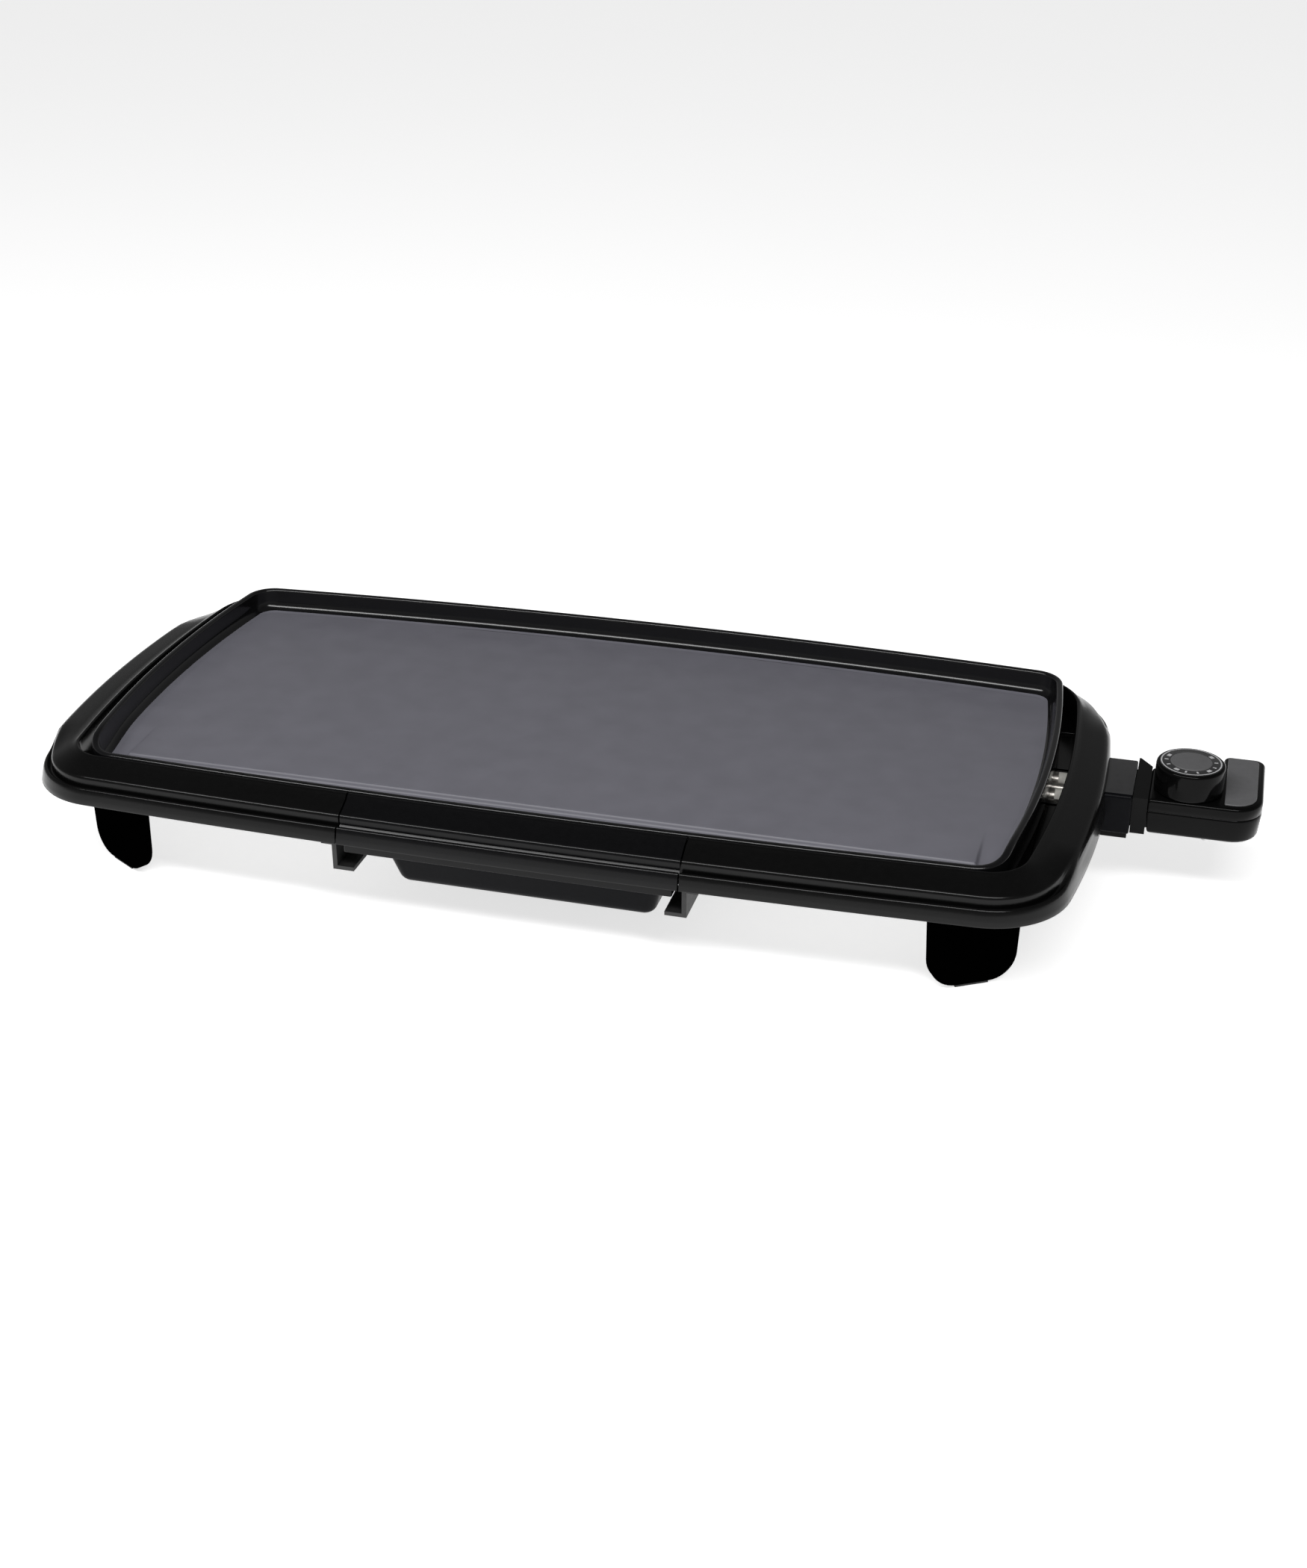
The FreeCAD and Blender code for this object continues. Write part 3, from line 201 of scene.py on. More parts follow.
def stations(outline, corner_n=14, end_n=22, back_n=30):
    """Points round the outline with outward normals, counter-clockwise from the front's left end."""
    hx, ey, front, back, er, fr, br, cr, kr = OUTLINES[outline]
    cf, cb = (0.0, fr - front), (0.0, back - br)
    ce = (hx - er, ey)
    fr_c = cross(cf, fr - cr, ce, er - cr, 1, -1)
    br_c = cross(cb, br - kr, ce, er - kr, 1, 1)
    a_front = math.atan2(fr_c[1] - cf[1], fr_c[0] - cf[0])
    a_end0 = math.atan2(fr_c[1] - ce[1], fr_c[0] - ce[0])
    a_end1 = math.atan2(br_c[1] - ce[1], br_c[0] - ce[0])
    a_back = math.atan2(br_c[1] - cb[1], br_c[0] - cb[0])
    half = []  # right half from the front centre to the back centre: (x, y, nx, ny)

    def arc(c, r, a0, a1, n, skip):
        for i in range(1 if skip else 0, n + 1):
            a = lerp(a0, a1, i / n)
            half.append((c[0] + r * math.cos(a), c[1] + r * math.sin(a), math.cos(a), math.sin(a)))

    for x in FRONT_X:
        a = -math.pi / 2 + math.asin(x / fr)
        if a < a_front - 1e-6:
            half.append((cf[0] + fr * math.cos(a), cf[1] + fr * math.sin(a), math.cos(a), math.sin(a)))
    arc(fr_c, cr, a_front, a_end0, corner_n, False)
    arc(ce, er, a_end0, a_end1, end_n, True)
    arc(br_c, kr, a_end1, a_back, corner_n, True)
    arc(cb, br, a_back, math.pi / 2, back_n, True)
    left = [(-x, y, -nx, ny) for x, y, nx, ny in reversed(half[1:-1])]
    return half + left


def offset(st, inset):
    return [(x - nx * inset, y - ny * inset) for x, y, nx, ny in st]


def sweep(name, loops, body, finishes, closed_section=True, keep=None, face_rule=None, **kw):
    """Joins loops of (x, y, z) points; keep(i) says whether the strip from station i to i + 1 exists."""
    n = len(loops[0])
    verts = [p for loop in loops for p in loop]
    faces, marks = [], []
    spans = range(n) if keep is None else [i for i in range(n) if keep(i)]
    rows = len(loops) if closed_section else len(loops) - 1
    for r in range(rows):
        a, b = r * n, ((r + 1) % len(loops)) * n
        for i in spans:
            j = (i + 1) % n
            faces.append((a + i, a + j, b + j, b + i))
            marks.append(face_rule(r, i) if face_rule else 0)
    if keep is not None and closed_section:
        for i in range(n):
            if keep(i) != keep((i - 1) % n):
                faces.append([r * n + i for r in range(len(loops))])
                marks.append(0)
    return make(name, verts, faces, finishes, body, face_finish=marks, **kw)


# ------------------------------------------------------------------ frame ring and tray front
FRAME_ST = stations("frame")
OPEN_ST = stations("opening")


# where the ring is narrower than at the front its section is squeezed
FULL_WIDTH = 20.9


def ring_width(x, y):
    """Distance from a point on the frame's outline to the opening."""
    return min(math.hypot(x - a, y - b) for a, b, _, _ in OPEN_ST)


SQUEEZE = [min(1.0, ring_width(x, y) / FULL_WIDTH) for x, y, _, _ in FRAME_ST]


def end_weight(x, y):
    """1 along the ends, where the section is a plain round edge, fading to 0 at the corners."""
    if abs(x) < 200:
        return 0.0
    return smooth(-118, -86, y) * (1 - smooth(60, 100, y))


END_ROWS = [
    (0.35, 50.8), (0.0, 51.4), (0.3, 54.0), (0.6, 56.6), (0.8, 58.4), (0.95, 59.6), (1.05, 60.8),
    (1.1, 62.0), (1.2, 63.2), (1.4, 64.4), (1.8, 65.5), (2.4, 66.5), (3.2, 67.3), (4.1, 67.9), (5.1, 68.3),
    (6.2, 68.5), (8.3, 68.8), (11.0, 69.2), (14.0, 69.6), (16.6, 69.9),
]


def section(rows):
    """Loops from (outline stations, inset, z) rows, with the ends blended to END_ROWS."""
    loops = []
    for r, (st, inset, z) in enumerate(rows):
        loop = []
        for i, (x, y, nx, ny) in enumerate(st):
            d, h = inset, z
            if st is FRAME_ST:
                if r < len(END_ROWS):
                    w = end_weight(x, y)
                    d, h = lerp(d, END_ROWS[r][0], w), lerp(h, END_ROWS[r][1], w)
                d *= SQUEEZE[i]
            loop.append((x - nx * d, y - ny * d, h))
        loops.append(loop)
    return loops


TOP_ROWS = [
    (FRAME_ST, 0.35, 50.8), (FRAME_ST, 0.0, 51.4), (FRAME_ST, 0.6, 54.0), (FRAME_ST, 1.2, 56.6),
    (FRAME_ST, 1.7, 58.4), (FRAME_ST, 2.1, 59.2), (FRAME_ST, 2.8, 59.75), (FRAME_ST, 3.6, 59.75),
    (FRAME_ST, 4.3, 59.2), (FRAME_ST, 4.7, 58.2), (FRAME_ST, 5.4, 57.7), (FRAME_ST, 6.1, 57.9),
    (FRAME_ST, 6.4, 58.8), (FRAME_ST, 6.45, 62.6), (FRAME_ST, 6.7, 63.7), (FRAME_ST, 7.3, 64.4),
    (FRAME_ST, 8.3, 64.95), (FRAME_ST, 11.0, 66.2), (FRAME_ST, 14.0, 67.7), (FRAME_ST, 16.6, 69.0),
    (OPEN_ST, -2.6, 70.1), (OPEN_ST, -1.7, 70.75), (OPEN_ST, -0.9, 70.95), (OPEN_ST, -0.25, 70.7),
    (OPEN_ST, 0.0, 70.0),
]
UNDER_ROWS = [
    (OPEN_ST, 0.0, 51.4), (OPEN_ST, -0.5, 50.8), (OPEN_ST, -2.5, 50.8), (OPEN_ST, -3.0, 51.4),
    (OPEN_ST, -3.0, 59.8), (OPEN_ST, -3.6, 60.4), (FRAME_ST, 9.4, 60.4), (FRAME_ST, 8.6, 59.8),
    (FRAME_ST, 8.6, 55.4), (FRAME_ST, 3.4, 55.4), (FRAME_ST, 3.0, 55.0), (FRAME_ST, 3.0, 51.2),
    (FRAME_ST, 2.6, 50.8),
]
N_ST = len(FRAME_ST)


def in_seam(i, limit):
    """True where the strip from station i to i + 1 lies in the tray front's gap."""
    (x0, y0), (x1, y1) = FRAME_ST[i][:2], FRAME_ST[(i + 1) % N_ST][:2]
    return y0 < 0 and y1 < 0 and max(abs(x0), abs(x1)) < limit


sweep("frame_ring", section(TOP_ROWS + UNDER_ROWS), "base", [FRAME_BLACK],
      keep=lambda i: not in_seam(i, 92.3), slot="frame_black", replaced=["base_frame"], smooth=50)
FASCIA_UNDER = [(OPEN_ST, 0.0, 67.9), (OPEN_ST, -1.0, 67.4), (FRAME_ST, 8.6, 61.2), (FRAME_ST, 4.0, 57.4),
                (FRAME_ST, 3.2, 56.0), (FRAME_ST, 3.2, 51.2), (FRAME_ST, 2.8, 50.8)]
sweep("tray_front", section(TOP_ROWS + FASCIA_UNDER), "drip_tray", [TRAY_BLACK],
      keep=lambda i: in_seam(i, 91.4), slot="tray_black", replaced=["drip_tray"], smooth=50)


def prism(name, outline, z0, z1, finishes, body, width=0.8, segments=3, **kw):
    """A polygon drawn up from z0 to z1 with bevelled edges."""
    n = len(outline)
    verts = [(x, y, z0) for x, y in outline] + [(x, y, z1) for x, y in outline]
    faces = [list(range(n))[::-1], list(range(n, 2 * n))]
    faces += [(i, (i + 1) % n, n + (i + 1) % n, n + i) for i in range(n)]
    obj = make(name, verts, faces, finishes, body, **kw)
    return bevel(obj, width, segments) if width else obj


def rounded(points, radii, n=8):
    """A polygon with its corners rounded."""
    out = []
    count = len(points)
    for i, (x, y) in enumerate(points):
        r = radii[i] if isinstance(radii, (list, tuple)) else radii
        if not r:
            out.append((x, y))
            continue
        ax, ay = points[i - 1]
        bx, by = points[(i + 1) % count]
        u = Vector((ax - x, ay - y)).normalized()
        w = Vector((bx - x, by - y)).normalized()
        half = math.acos(max(-1, min(1, u.dot(w)))) / 2
        back = r / math.tan(half)
        c = Vector((x, y)) + (u + w).normalized() * (r / math.sin(half))
        p0, p1 = Vector((x, y)) + u * back, Vector((x, y)) + w * back
        a0 = math.atan2(p0.y - c.y, p0.x - c.x)
        a1 = math.atan2(p1.y - c.y, p1.x - c.x)
        d = (a1 - a0 + math.pi) % (2 * math.pi) - math.pi
        for k in range(n + 1):
            a = a0 + d * k / n
            out.append((c.x + r * math.cos(a), c.y + r * math.sin(a)))
    return out


# corner gussets and the bar behind the tray front
GUSSET_X = 204
LEDGE_X, LEDGE_Y = 257, 92
for sx in (-1, 1):
    for sy in (-1, 1):
        gusset_y = 82 if sy > 0 else -87
        arc = [(x, y) for x, y in offset(FRAME_ST, 3.2) if x * sx > GUSSET_X and y * sy > abs(gusset_y)]
        arc.sort(key=lambda p: math.atan2(p[1] * sy, p[0] * sx))
        edge = [(arc[0][0], gusset_y)] + arc + [(GUSSET_X * sx, arc[-1][1]), (GUSSET_X * sx, gusset_y)]
        prism("gusset_%s_%s" % ("lr"[sx > 0], "fb"[sy > 0]), edge, 50.9, 54.2, [FRAME_BLACK], "base",
              width=0.4, slot="frame_black")
prism("cross_bar", rounded([(-92.2, -131.4), (92.2, -131.4), (92.2, -126.6), (-92.2, -126.6)], 0.6, 3),
      50.8, 62.0, [FRAME_BLACK], "base", width=0.4, slot="frame_black")

for sx in (-1, 1):
    arc = [(x, y) for x, y in offset(FRAME_ST, 2.2) if x * sx > 240 and abs(y) < LEDGE_Y]
    arc.sort(key=lambda p: p[1])
    edge = [(LEDGE_X * sx, arc[0][1])] + arc + [(LEDGE_X * sx, arc[-1][1])]
    prism("ledge_" + "lr"[sx > 0], edge, 50.9, 53.2, [FRAME_BLACK], "base", width=0.3, slot="frame_black")
prism("ledge_inner", [(244, -92), (258, -92), (258, -12), (244, -12)], 50.9, 53.2, [FRAME_BLACK], "base",
      width=0.3, slot="frame_black")
for tag, y0, y1, z1 in (("floor", -9, 37, 46.6), ("front", -9, -6, 53.2), ("back", 34, 37, 53.2)):
    prism("trough_" + tag, [(256, y0), (288, y0), (288, y1), (256, y1)], 44.6, z1, [FRAME_BLACK], "base",
          width=0.3, slot="frame_black")

# ------------------------------------------------------------------ drip tray pan
def pan_loop(half, front, back, r, z, n=7):
    pts = rounded([(-half, -front), (half, -front), (half, back), (-half, back)], r, n)
    return [(x, y, z) for x, y in pts]


LEAN = (76.8 - 70.1) / (38.8 - 14.9)


def pan_at(z, inset=0.0):
    k = (38.8 - z) * LEAN + inset
    return pan_loop(76.8 - k, 122.0 - k, 40.0 - k, max(1.2, 6.0 - inset), z)


pan_loops = [pan_at(z, 0) for z in (38.2, 30.0, 22.0, 19.2)]
for t in range(1, 7):
    a = math.pi / 2 * t / 6
    pan_loops.append(pan_at(19.2 - 4.3 * math.sin(a), 4.3 * (1 - math.cos(a))))
pan_loops.append(pan_at(14.9, 30.0))
inner_loops = [pan_at(17.1, 30.0)]
for t in range(7):
    a = math.pi / 2 * (1 - t / 6)
    inner_loops.append(pan_at(20.1 - 3.0 * math.sin(a), 2.2 + 3.0 * (1 - math.cos(a))))
inner_loops += [pan_at(z, 2.2) for z in (26.0, 32.0, 38.2)]
lip = [pan_at(38.7, 1.7), pan_at(38.8, 1.1), pan_at(38.7, 0.4)]
loops = pan_loops + inner_loops + lip
pan = sweep("tray_pan", loops, "drip_tray", [PAN_BLACK], slot="tray_black", smooth=50)
bm = bmesh.new()
bm.from_mesh(pan.data)
bm.verts.ensure_lookup_table()
count = len(loops[0])
for row in (len(pan_loops) - 1, len(pan_loops)):
    bm.faces.new([bm.verts[row * count + i] for i in range(count)])
# the strip between the two floors is inside the wall of the pan floor: remove it
drop = [f for f in bm.faces if len(f.verts) == 4 and
        {v.index // count for v in f.verts} == {len(pan_loops) - 1, len(pan_loops)}]
bmesh.ops.delete(bm, geom=drop, context="FACES")
bmesh.ops.recalc_face_normals(bm, faces=bm.faces)
bm.to_mesh(pan.data)
bm.free()
for tag, s in (("l", -1), ("r", 1)):
    lip_outline = [(s * 75.4, -116), (s * 91.4, -116), (s * 91.4, 40), (s * 75.4, 40)]
    prism("tray_lip_" + tag, rounded(lip_outline, 1.5, 3), 36.6, 38.8, [TRAY_BLACK], "drip_tray",
          width=0.6, slot="tray_black")
prism("tray_shelf", rounded([(-88.2, -144.3), (88.2, -144.3), (88.2, -119.6), (-88.2, -119.6)], 2, 4),
      46.0, 48.4, [TRAY_BLACK], "drip_tray", width=0.6, slot="tray_black")
prism("tray_front_wall", rounded([(-70.8, -122), (70.8, -122), (70.8, -119.6), (-70.8, -119.6)], 1, 3),
      35.8, 48.2, [TRAY_BLACK], "drip_tray", width=0.3, slot="tray_black")
prism("tray_skirt_web", rounded([(-88.2, -144.9), (88.2, -144.9), (88.2, -142.1), (-88.2, -142.1)], 1, 3),
      46.0, 56.6, [TRAY_BLACK], "drip_tray", width=0.3, slot="tray_black")

# ------------------------------------------------------------------ griddle plate
PLATE_ST = stations("plate", corner_n=12)
FLOOR, CHANNEL, RIM, FRONT_RIM, UNDER = 63.1, 60.5, 76.2, 71.2, 57.6


def floor_z(x, y):
    """Height of the cooking surface: raised middle, front channel, side channels that fade out."""
    ramp = lerp(CHANNEL, FLOOR, smooth(-101, -62, y))
    inside = 1 - smooth(232.4, 234.4, abs(x))
    raised = lerp(CHANNEL, FLOOR, smooth(-101.2, -99.6, y))
    return lerp(max(ramp, CHANNEL) if y > -101 else CHANNEL, raised, inside)


def rim_z(y):
    return lerp(FRONT_RIM, RIM, smooth(-121, -97, y))


def lean_of(y):
    return smooth(-108, -121, y)


wall_loops = []


def plate_row(inset_fn, z_fn):
    row = []
    for x, y, nx, ny in PLATE_ST:
        i = inset_fn(y)
        px, py = x - nx * i, y - ny * i
        row.append((px, py, z_fn(px, py, y)))
    wall_loops.append(row)


plate_row(lambda y: 3.0, lambda x, y, sy: UNDER)
plate_row(lambda y: 1.2, lambda x, y, sy: UNDER + 0.1)
plate_row(lambda y: 0.3, lambda x, y, sy: UNDER + 0.9)
plate_row(lambda y: 0.0, lambda x, y, sy: UNDER + 2.2)
for t in range(0, 6):
    a = math.pi / 2 * t / 5
    plate_row(lambda y, a=a: 1.6 * (1 - math.cos(a)),
              lambda x, y, sy, a=a: rim_z(sy) - 1.6 * (1 - math.sin(a)))
for t in range(0, 6):
    a = math.pi / 2 * t / 5
    plate_row(lambda y, a=a: 2.5 + 1.5 * math.sin(a),
              lambda x, y, sy, a=a: rim_z(sy) - 1.5 * (1 - math.cos(a)))
for t in range(0, 9):
    # inner wall foot: upright with a round foot at the sides, leaning at the front
    a = math.pi / 2 * t / 8

    def inset(y, a=a, t=t):
        upright = 4.0 + 6.0 * (1 - math.cos(a))
        leaning = 4.4 + 6.6 * (t / 8)
        return lerp(upright, leaning, lean_of(y))

    def height(x, y, sy, a=a, t=t):
        z0 = floor_z(x, y)
        upright = z0 + 6.0 * (1 - math.sin(a))
        leaning = lerp(rim_z(sy) - 1.5, z0 - 0.05, (t / 8) ** 0.8)
        return lerp(upright, leaning, lean_of(sy))

    plate_row(inset, height)
n_wall = len(PLATE_ST)
DARK_ROWS = len(wall_loops) - 3
sweep("plate_rim", wall_loops, "base", [RIM_BLACK, NONSTICK], closed_section=False, slot="nonstick",
      replaced=["griddle_plate"], smooth=60,
      face_rule=lambda r, i: 1 if r >= DARK_ROWS or (r >= 15 and PLATE_ST[i][1] < -112) else 0)


def half_width(y, inset):
    """Half length of the plate inside the wall at y."""
    pts = offset(PLATE_ST, inset)
    best = 0.0
    for i in range(n_wall):
        (x0, y0), (x1, y1) = pts[i], pts[(i + 1) % n_wall]
        if (y0 - y) * (y1 - y) <= 0 and y0 != y1:
            t = (y - y0) / (y1 - y0)
            best = max(best, abs(lerp(x0, x1, t)))
    return best


# raised surface and channels as a fine height field whose edges follow the channels
front_in, back_in = -117.0, 120.5
ys = [front_in, -115, -110, -105, -101.3, -100.9, -100.4, -99.9, -99.5, -98.5]
ys += [-98.5 + (back_in - 3 + 98.5) * k / 40 for k in range(1, 41)] + [back_in - 1.4, back_in]
xs_mid = [-234.6, -234.0, -233.4, -232.8, -232.2] + [-232.2 + 464.4 * k / 60 for k in range(1, 60)]
xs_mid += [232.2, 232.8, 233.4, 234.0, 234.6]
verts, faces = [], []
cols = len(xs_mid) + 8
SIDE_X = 234.6
for y in ys:
    hx = half_width(y, 9.2)
    step = max(0.0, hx - SIDE_X) / 4
    row = [-SIDE_X - step * k for k in (4, 3, 2, 1)] + xs_mid + [SIDE_X + step * k for k in (1, 2, 3, 4)]
    for x in row:
        x = max(-hx, min(hx, x))
        back_limit = 126.4 - 8.5 - x * x / 6000
        yy = min(y, back_limit)
        verts.append((x, yy, floor_z(x, yy)))
for r in range(len(ys) - 1):
    for c in range(cols - 1):
        faces.append((r * cols + c, r * cols + c + 1, (r + 1) * cols + c + 1, (r + 1) * cols + c))
# the drain slot is left open: faces over it are dropped
open_faces = [f for f in faces if all(abs(verts[i][0]) < 17 and -113 < verts[i][1] < -101.5 for i in f)]
faces = [f for f in faces if f not in open_faces]
make("plate_surface", verts, faces, [NONSTICK], "base", slot="nonstick", smooth=60)
# underside skin
under_pts = offset(PLATE_ST, 3.0)
make("plate_underside", [(x, y, UNDER) for x, y in under_pts], [list(range(n_wall))], [CAST], "base",
     slot="nonstick")


def rails_box(name, x0, x1, y0, y1, z0, z1, finish, body, slot, r=1.0, width=0.4):
    pts = rounded([(x0, y0), (x1, y0), (x1, y1), (x0, y1)], r, 3)
    return prism(name, pts, z0, z1, [finish], body, width=width, slot=slot)


for tag, y0 in (("a", -82.3), ("b", -70.2), ("c", 67.7), ("d", 79.8)):
    rails_box("plate_rib_" + tag, -190, 190, y0, y0 + 2.5, 51.0, 57.7, CAST, "base", "nonstick")
for tag, x0 in (("e", -222.3), ("f", -210.2)):
    rails_box("plate_rib_" + tag, x0, x0 + 2.5, -50, 50, 51.0, 57.7, CAST, "base", "nonstick")
rails_box("probe_boss", 232, 256, 9.1, 18.9, 47.0, 57.7, CAST, "base", "nonstick", 2.0, 0.8)
for i, (x, y) in enumerate(((-219, -93), (-219, 92), (219, -93), (219, 92))):
    ring = [(x + 6 * math.cos(k * math.pi / 16), y + 6 * math.sin(k * math.pi / 16)) for k in range(32)]
    prism("plate_boss_%d" % i, ring, 54.2, 57.7, [CAST], "base", width=0.5, slot="nonstick")

# ------------------------------------------------------------------ legs
def leg(tag, x, y, turn):
    """Blade with round bottom corners, turned to face the corner."""
    prof = rounded([(-23.0, 1.2), (23.0, 1.2), (25.0, 51.2), (-25.0, 51.2)], [15, 15, 0, 0], 10)
    n = len(prof)
    a = math.radians(turn)
    verts = []
    for t in (-4.0, 4.0):
        for u, z in prof:
            verts.append((x + u * math.cos(a) - t * math.sin(a), y + u * math.sin(a) + t * math.cos(a), z))
    faces = [list(range(n)), list(range(n, 2 * n))[::-1]]
    faces += [(i, (i + 1) % n, n + (i + 1) % n, n + i) for i in range(n)]
    obj = make("leg_blade_" + tag, verts, faces, [LEG_BLACK], "base", slot="frame_black",
               replaced=["leg_" + tag])
    bevel(obj, 1.6, 4)


leg("front_left", -235.7, -110.6, -31)
leg("front_right", 235.7, -110.6, 31)
leg("back_left", -235.7, 103.0, 31)
leg("back_right", 235.7, 103.0, -31)

# ------------------------------------------------------------------ socket guard
def tube_x(name, x0, x1, outer, inner, finishes, body, face_rule=None, **kw):
    """A hollow block along X from closed (y, z) outlines with the same number of points."""
    n = len(outer)
    verts = [(x0, y, z) for y, z in outer] + [(x1, y, z) for y, z in outer]
    verts += [(x0, y, z) for y, z in inner] + [(x1, y, z) for y, z in inner]
    faces, marks = [], []
    for i in range(n):
        j = (i + 1) % n
        faces.append((i, j, n + j, n + i))
        marks.append(face_rule(outer[i], outer[j]) if face_rule else 0)
        faces.append((2 * n + j, 2 * n + i, 3 * n + i, 3 * n + j))
        faces.append((i, 2 * n + i, 2 * n + j, j))
        faces.append((n + j, 3 * n + j, 3 * n + i, n + i))
        marks += [0, 0, 0]
    return make(name, verts, faces, finishes, body, face_finish=marks, **kw)


guard_out = rounded([(-9.0, 41.5), (37.0, 41.5), (37.0, 64.3), (-9.0, 64.3)], [1.5, 1.5, 2.2, 2.2], 5)
guard_in = rounded([(-6.0, 44.0), (34.0, 44.0), (34.0, 61.3), (-6.0, 61.3)], 1.5, 5)
guard = tube_x("guard_shell", 284.2, 303.0, guard_out, guard_in, [PAN_BLACK, GUARD_TOP], "base",
               face_rule=lambda a, b: 1 if a[1] > 64.2 and b[1] > 64.2 else 0,
               slot="frame_black", replaced=["socket_guard"])
bevel(guard, 0.9, 3)
foot_out = rounded([(-7.0, 38.0), (35.0, 38.0), (35.0, 44.0), (-7.0, 44.0)], 1.0, 5)
foot_in = rounded([(-4.5, 40.6), (32.5, 40.6), (32.5, 43.4), (-4.5, 43.4)], 0.8, 5)
foot = tube_x("guard_foot", 288.2, 302.0, foot_out, foot_in, [CONTROL_BLACK], "base", slot="frame_black")
bevel(foot, 0.4, 2)

# ------------------------------------------------------------------ control housing
PLAN = [(311.0, -5.0), (370.0, -5.0), (370.0, 59.0), (348.0, 59.0), (348.0, 35.0), (311.0, 35.0)]
PLAN_R = [1.5, 16.0, 6.0, 4.0, 5.0, 1.5]


def shrink(points, d):
    sx = [1, -1, -1, 1, 1, 1]
    sy = [1, 1, -1, -1, -1, -1]
    return [(x + sx[i] * d, y + sy[i] * d) for i, (x, y) in enumerate(points)]


def plan_loop(z, d):
    radii = [max(0.3, r - (d if i != 4 else -d)) for i, r in enumerate(PLAN_R)]
    return [(x, y, z) for x, y in rounded(shrink(PLAN, d), radii, 8)]


def shell(name, rows, finish, slot, replaced, caps):
    loops = [plan_loop(z, d) for z, d in rows]
    n = len(loops[0])
    verts = [p for loop in loops for p in loop]
    faces = []
    for r in range(len(loops) - 1):
        for i in range(n):
            j = (i + 1) % n
            faces.append((r * n + i, r * n + j, (r + 1) * n + j, (r + 1) * n + i))
    for r in caps:
        faces.append([r * n + i for i in range(n)])
    return make(name, verts, faces, [finish], "control", slot=slot, replaced=replaced, smooth=50)


low_rows = [(54.7, 1.2), (54.9, 0.35), (54.6, 0.1), (53.0, 0.0), (43.4, 0.9), (42.2, 1.4), (41.4, 2.3),
            (41.0, 3.6)]
shell("control_tub", low_rows, CONTROL_BLACK, "control_black", ["control_lower"], [len(low_rows) - 1])
high_rows = [(55.1, 1.0), (55.1, 0.3), (55.4, 0.0), (60.2, 0.0), (61.1, 0.3), (61.7, 0.9), (62.0, 1.8)]
shell("control_deck", high_rows, CONTROL_BLACK, "control_black", ["control_upper"], [len(high_rows) - 1])
cover = rounded([(350.2, -1.2), (366.6, -1.2), (366.6, 56.0), (350.2, 56.0)], [1.0, 12.0, 4.0, 2.0], 10)
prism("handle_panel", cover, 61.6, 62.8, [SATIN_GREY], "control", width=0.5, slot="satin_grey",
      replaced=["handle_cover"])


# a dark neck behind the flange that closes the joint with the guard
prism("control_neck", [(302.4, -4.0), (312.0, -4.0), (312.0, 32.6), (302.4, 32.6)], 44.6, 60.6,
      [CONTROL_BLACK], "control", width=0.3, slot="control_black")


# ------------------------------------------------------------------ dial
def lathe(name, cx, cy, profile, finishes, body, n=96, ripple=None, face_rule=None, **kw):
    """Turns (radius, z) pairs about a vertical axis; the first and last radius may be 0."""
    verts, faces, marks = [], [], []
    for r, z in profile:
        for k in range(n):
            a = 2 * math.pi * k / n
            rr = r + (ripple(k, z) if ripple else 0.0)
            verts.append((cx + rr * math.cos(a), cy + rr * math.sin(a), z))
    for i in range(len(profile) - 1):
        for k in range(n):
            j = (k + 1) % n
            faces.append((i * n + k, i * n + j, (i + 1) * n + j, (i + 1) * n + k))
            marks.append(face_rule(i) if face_rule else 0)
    faces.append([k for k in range(n)][::-1])
    faces.append([(len(profile) - 1) * n + k for k in range(n)])
    marks += [0, 0]
    return make(name, verts, faces, finishes, body, face_finish=marks, **kw)


DX, DY = 330.8, 12.7
knob_profile = [(15.7, 62.6), (17.6, 62.6), (17.95, 62.9), (18.1, 63.6), (18.1, 76.2), (17.9, 77.2),
                (17.3, 77.85), (16.6, 78.0), (16.2, 77.9), (16.1, 77.6)]
lathe("knob_body", DX, DY, knob_profile, [CONTROL_BLACK], "dial", slot="control_black",
      replaced=["dial_knob"], smooth=50)
lathe("knob_cap", DX, DY, [(10.9, 77.7), (10.9, 78.3), (10.7, 78.55), (10.2, 78.7)], [CAP_GREY], "dial",
      slot="satin_grey", replaced=["dial_cap"], smooth=50)
lathe("dial_face", DX, DY, [(16.4, 77.6), (16.4, 78.1), (16.2, 78.25)], [DIAL_DARK], "dial",
      slot="dial_silver", replaced=["dial_ring"], smooth=50)


def arc_strip(name, r0, r1, a0, a1, z, finish, body, slot):
    n = max(3, int(abs(a1 - a0) / 3))
    verts, faces = [], []
    for k in range(n + 1):
        a = math.radians(lerp(a0, a1, k / n))
        for r in (r0, r1):
            verts.append((DX + r * math.cos(a), DY + r * math.sin(a), z))
    for k in range(n):
        faces.append((2 * k, 2 * k + 2, 2 * k + 3, 2 * k + 1))
    return make(name, verts, faces, [finish], body, slot=slot)


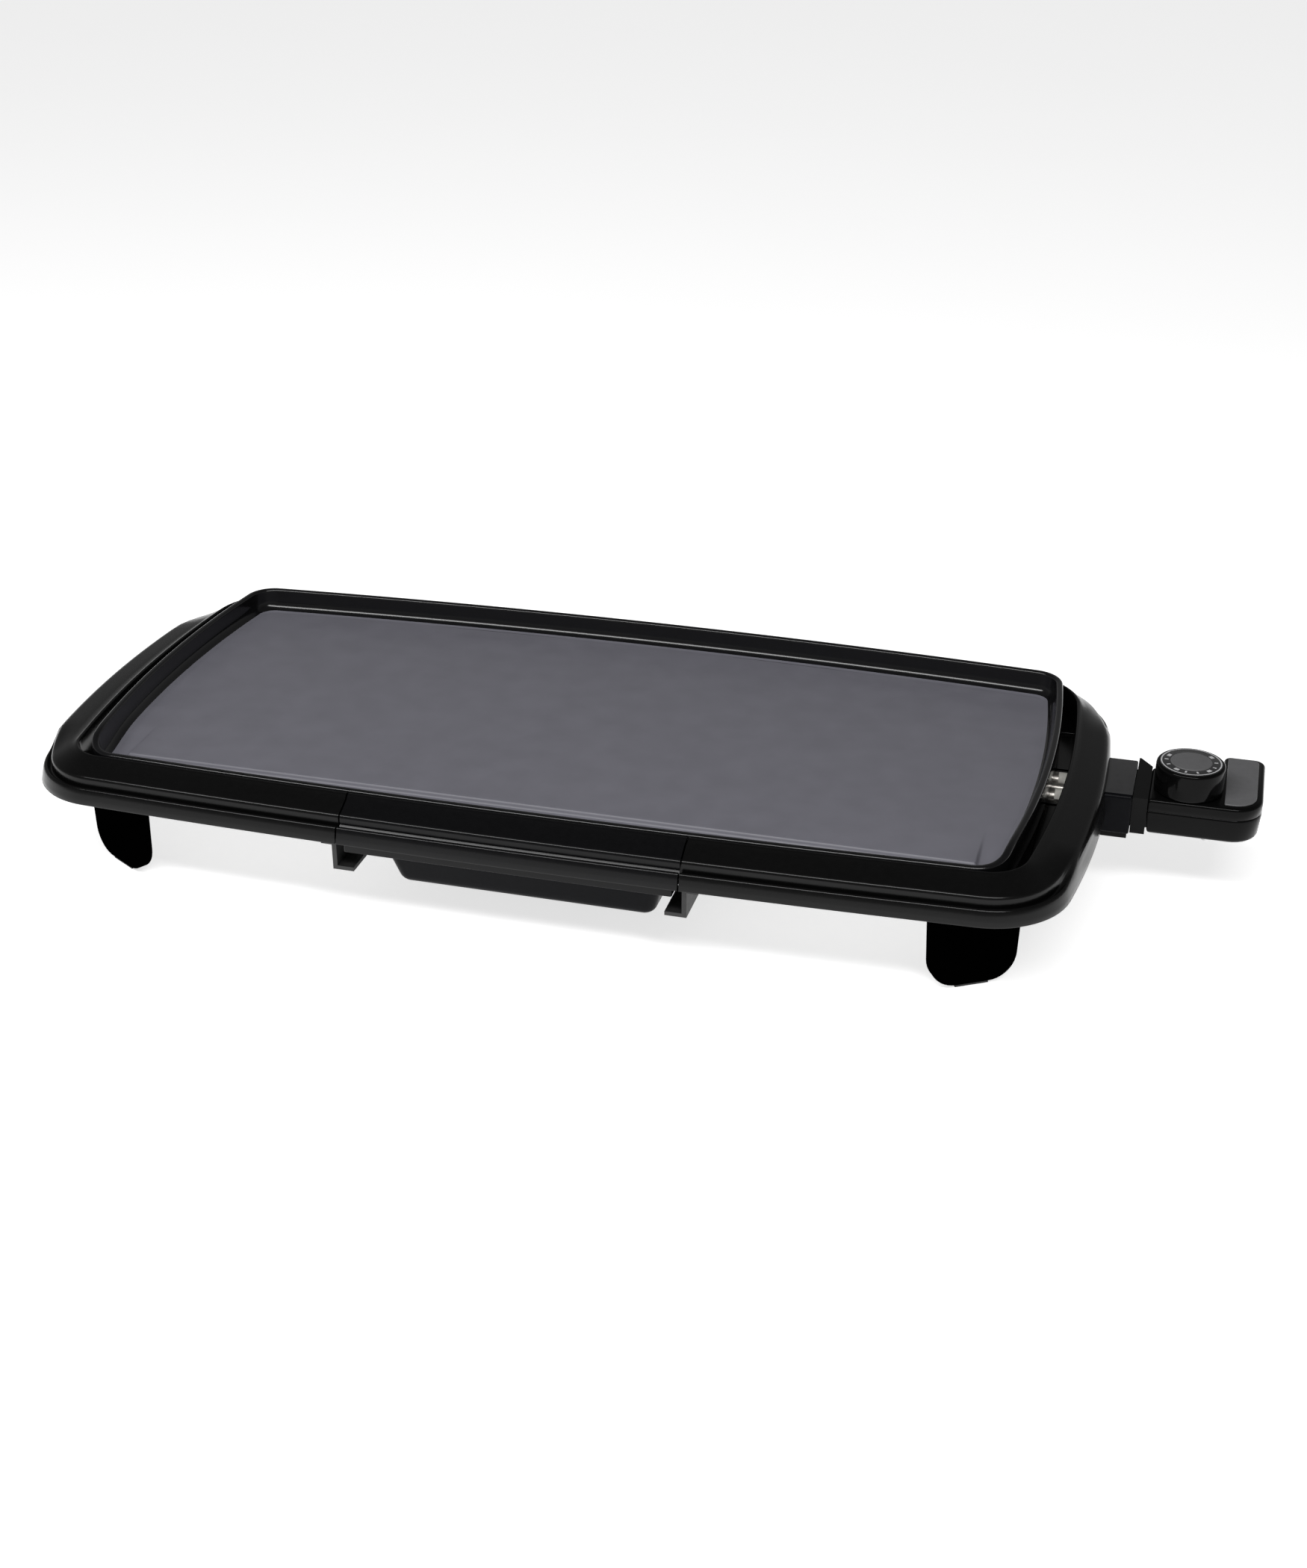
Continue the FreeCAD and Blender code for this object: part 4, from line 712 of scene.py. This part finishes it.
arc_strip("dial_mark_ring", 15.2, 15.9, 0, 360, 78.27, PRINT_LIGHT, "dial", "dial_silver")
for k in range(10):
    a = 150 + k * 27
    arc_strip("dial_mark_%d" % k, 11.9, 13.9, a, a + (4.5 if k % 3 else 12), 78.27, PRINT_LIGHT, "dial",
              "dial_silver")

# ------------------------------------------------------------------ stage, light and camera
floor_mat = material("floor_paper", (0.93, 0.93, 0.93), 0.9, spread=0.01, scale=2.0, glow=0.75)
bpy.ops.mesh.primitive_plane_add(size=40, location=(0, 0, 0))
floor = bpy.context.object
floor.name = "floor"
floor.data.materials.append(floor_mat)

world = bpy.data.worlds.new("studio")
bpy.context.scene.world = world
world.use_nodes = True
wn = world.node_tree
direction = wn.nodes.new("ShaderNodeTexCoord")
split = wn.nodes.new("ShaderNodeSeparateXYZ")
wn.links.new(direction.outputs["Generated"], split.inputs["Vector"])
sky = wn.nodes.new("ShaderNodeValToRGB")
for k, (at, level) in enumerate(((0.0, 1.0), (0.04, 0.3), (0.35, 0.2), (0.65, 0.12), (1.0, 0.1))):
    stop = sky.color_ramp.elements[k] if k < 2 else sky.color_ramp.elements.new(at)
    stop.position = at
    stop.color = (level, level, level, 1)
wn.links.new(split.outputs["Z"], sky.inputs["Fac"])
wn.links.new(sky.outputs["Color"], wn.nodes["Background"].inputs["Color"])
wn.nodes["Background"].inputs["Strength"].default_value = 1.0


def area(name, size, power, at, to):
    light = bpy.data.lights.new(name, "AREA")
    light.shape = "RECTANGLE"
    light.size, light.size_y = size
    light.energy = power
    obj = bpy.data.objects.new(name, light)
    bpy.context.scene.collection.objects.link(obj)
    obj.location = Vector(at)
    obj.rotation_euler = (Vector(to) - Vector(at)).to_track_quat("-Z", "Y").to_euler()


area("front_strip", (2.2, 0.3), 26, (-0.1, -0.95, 1.35), (0, 0, 0.05))

cam_data = bpy.data.cameras.new("camera")
cam = bpy.data.objects.new("camera", cam_data)
bpy.context.scene.collection.objects.link(cam)
cam_data.lens = 49.57
cam_data.sensor_width = 36
cam.location = P(329.0, -1049.6, 587.7)
look = Vector((-0.2373, 0.8584, -0.4548))
cam.rotation_euler = look.to_track_quat("-Z", "Y").to_euler()
bpy.context.scene.camera = cam
bpy.context.scene.view_settings.view_transform = "Standard"
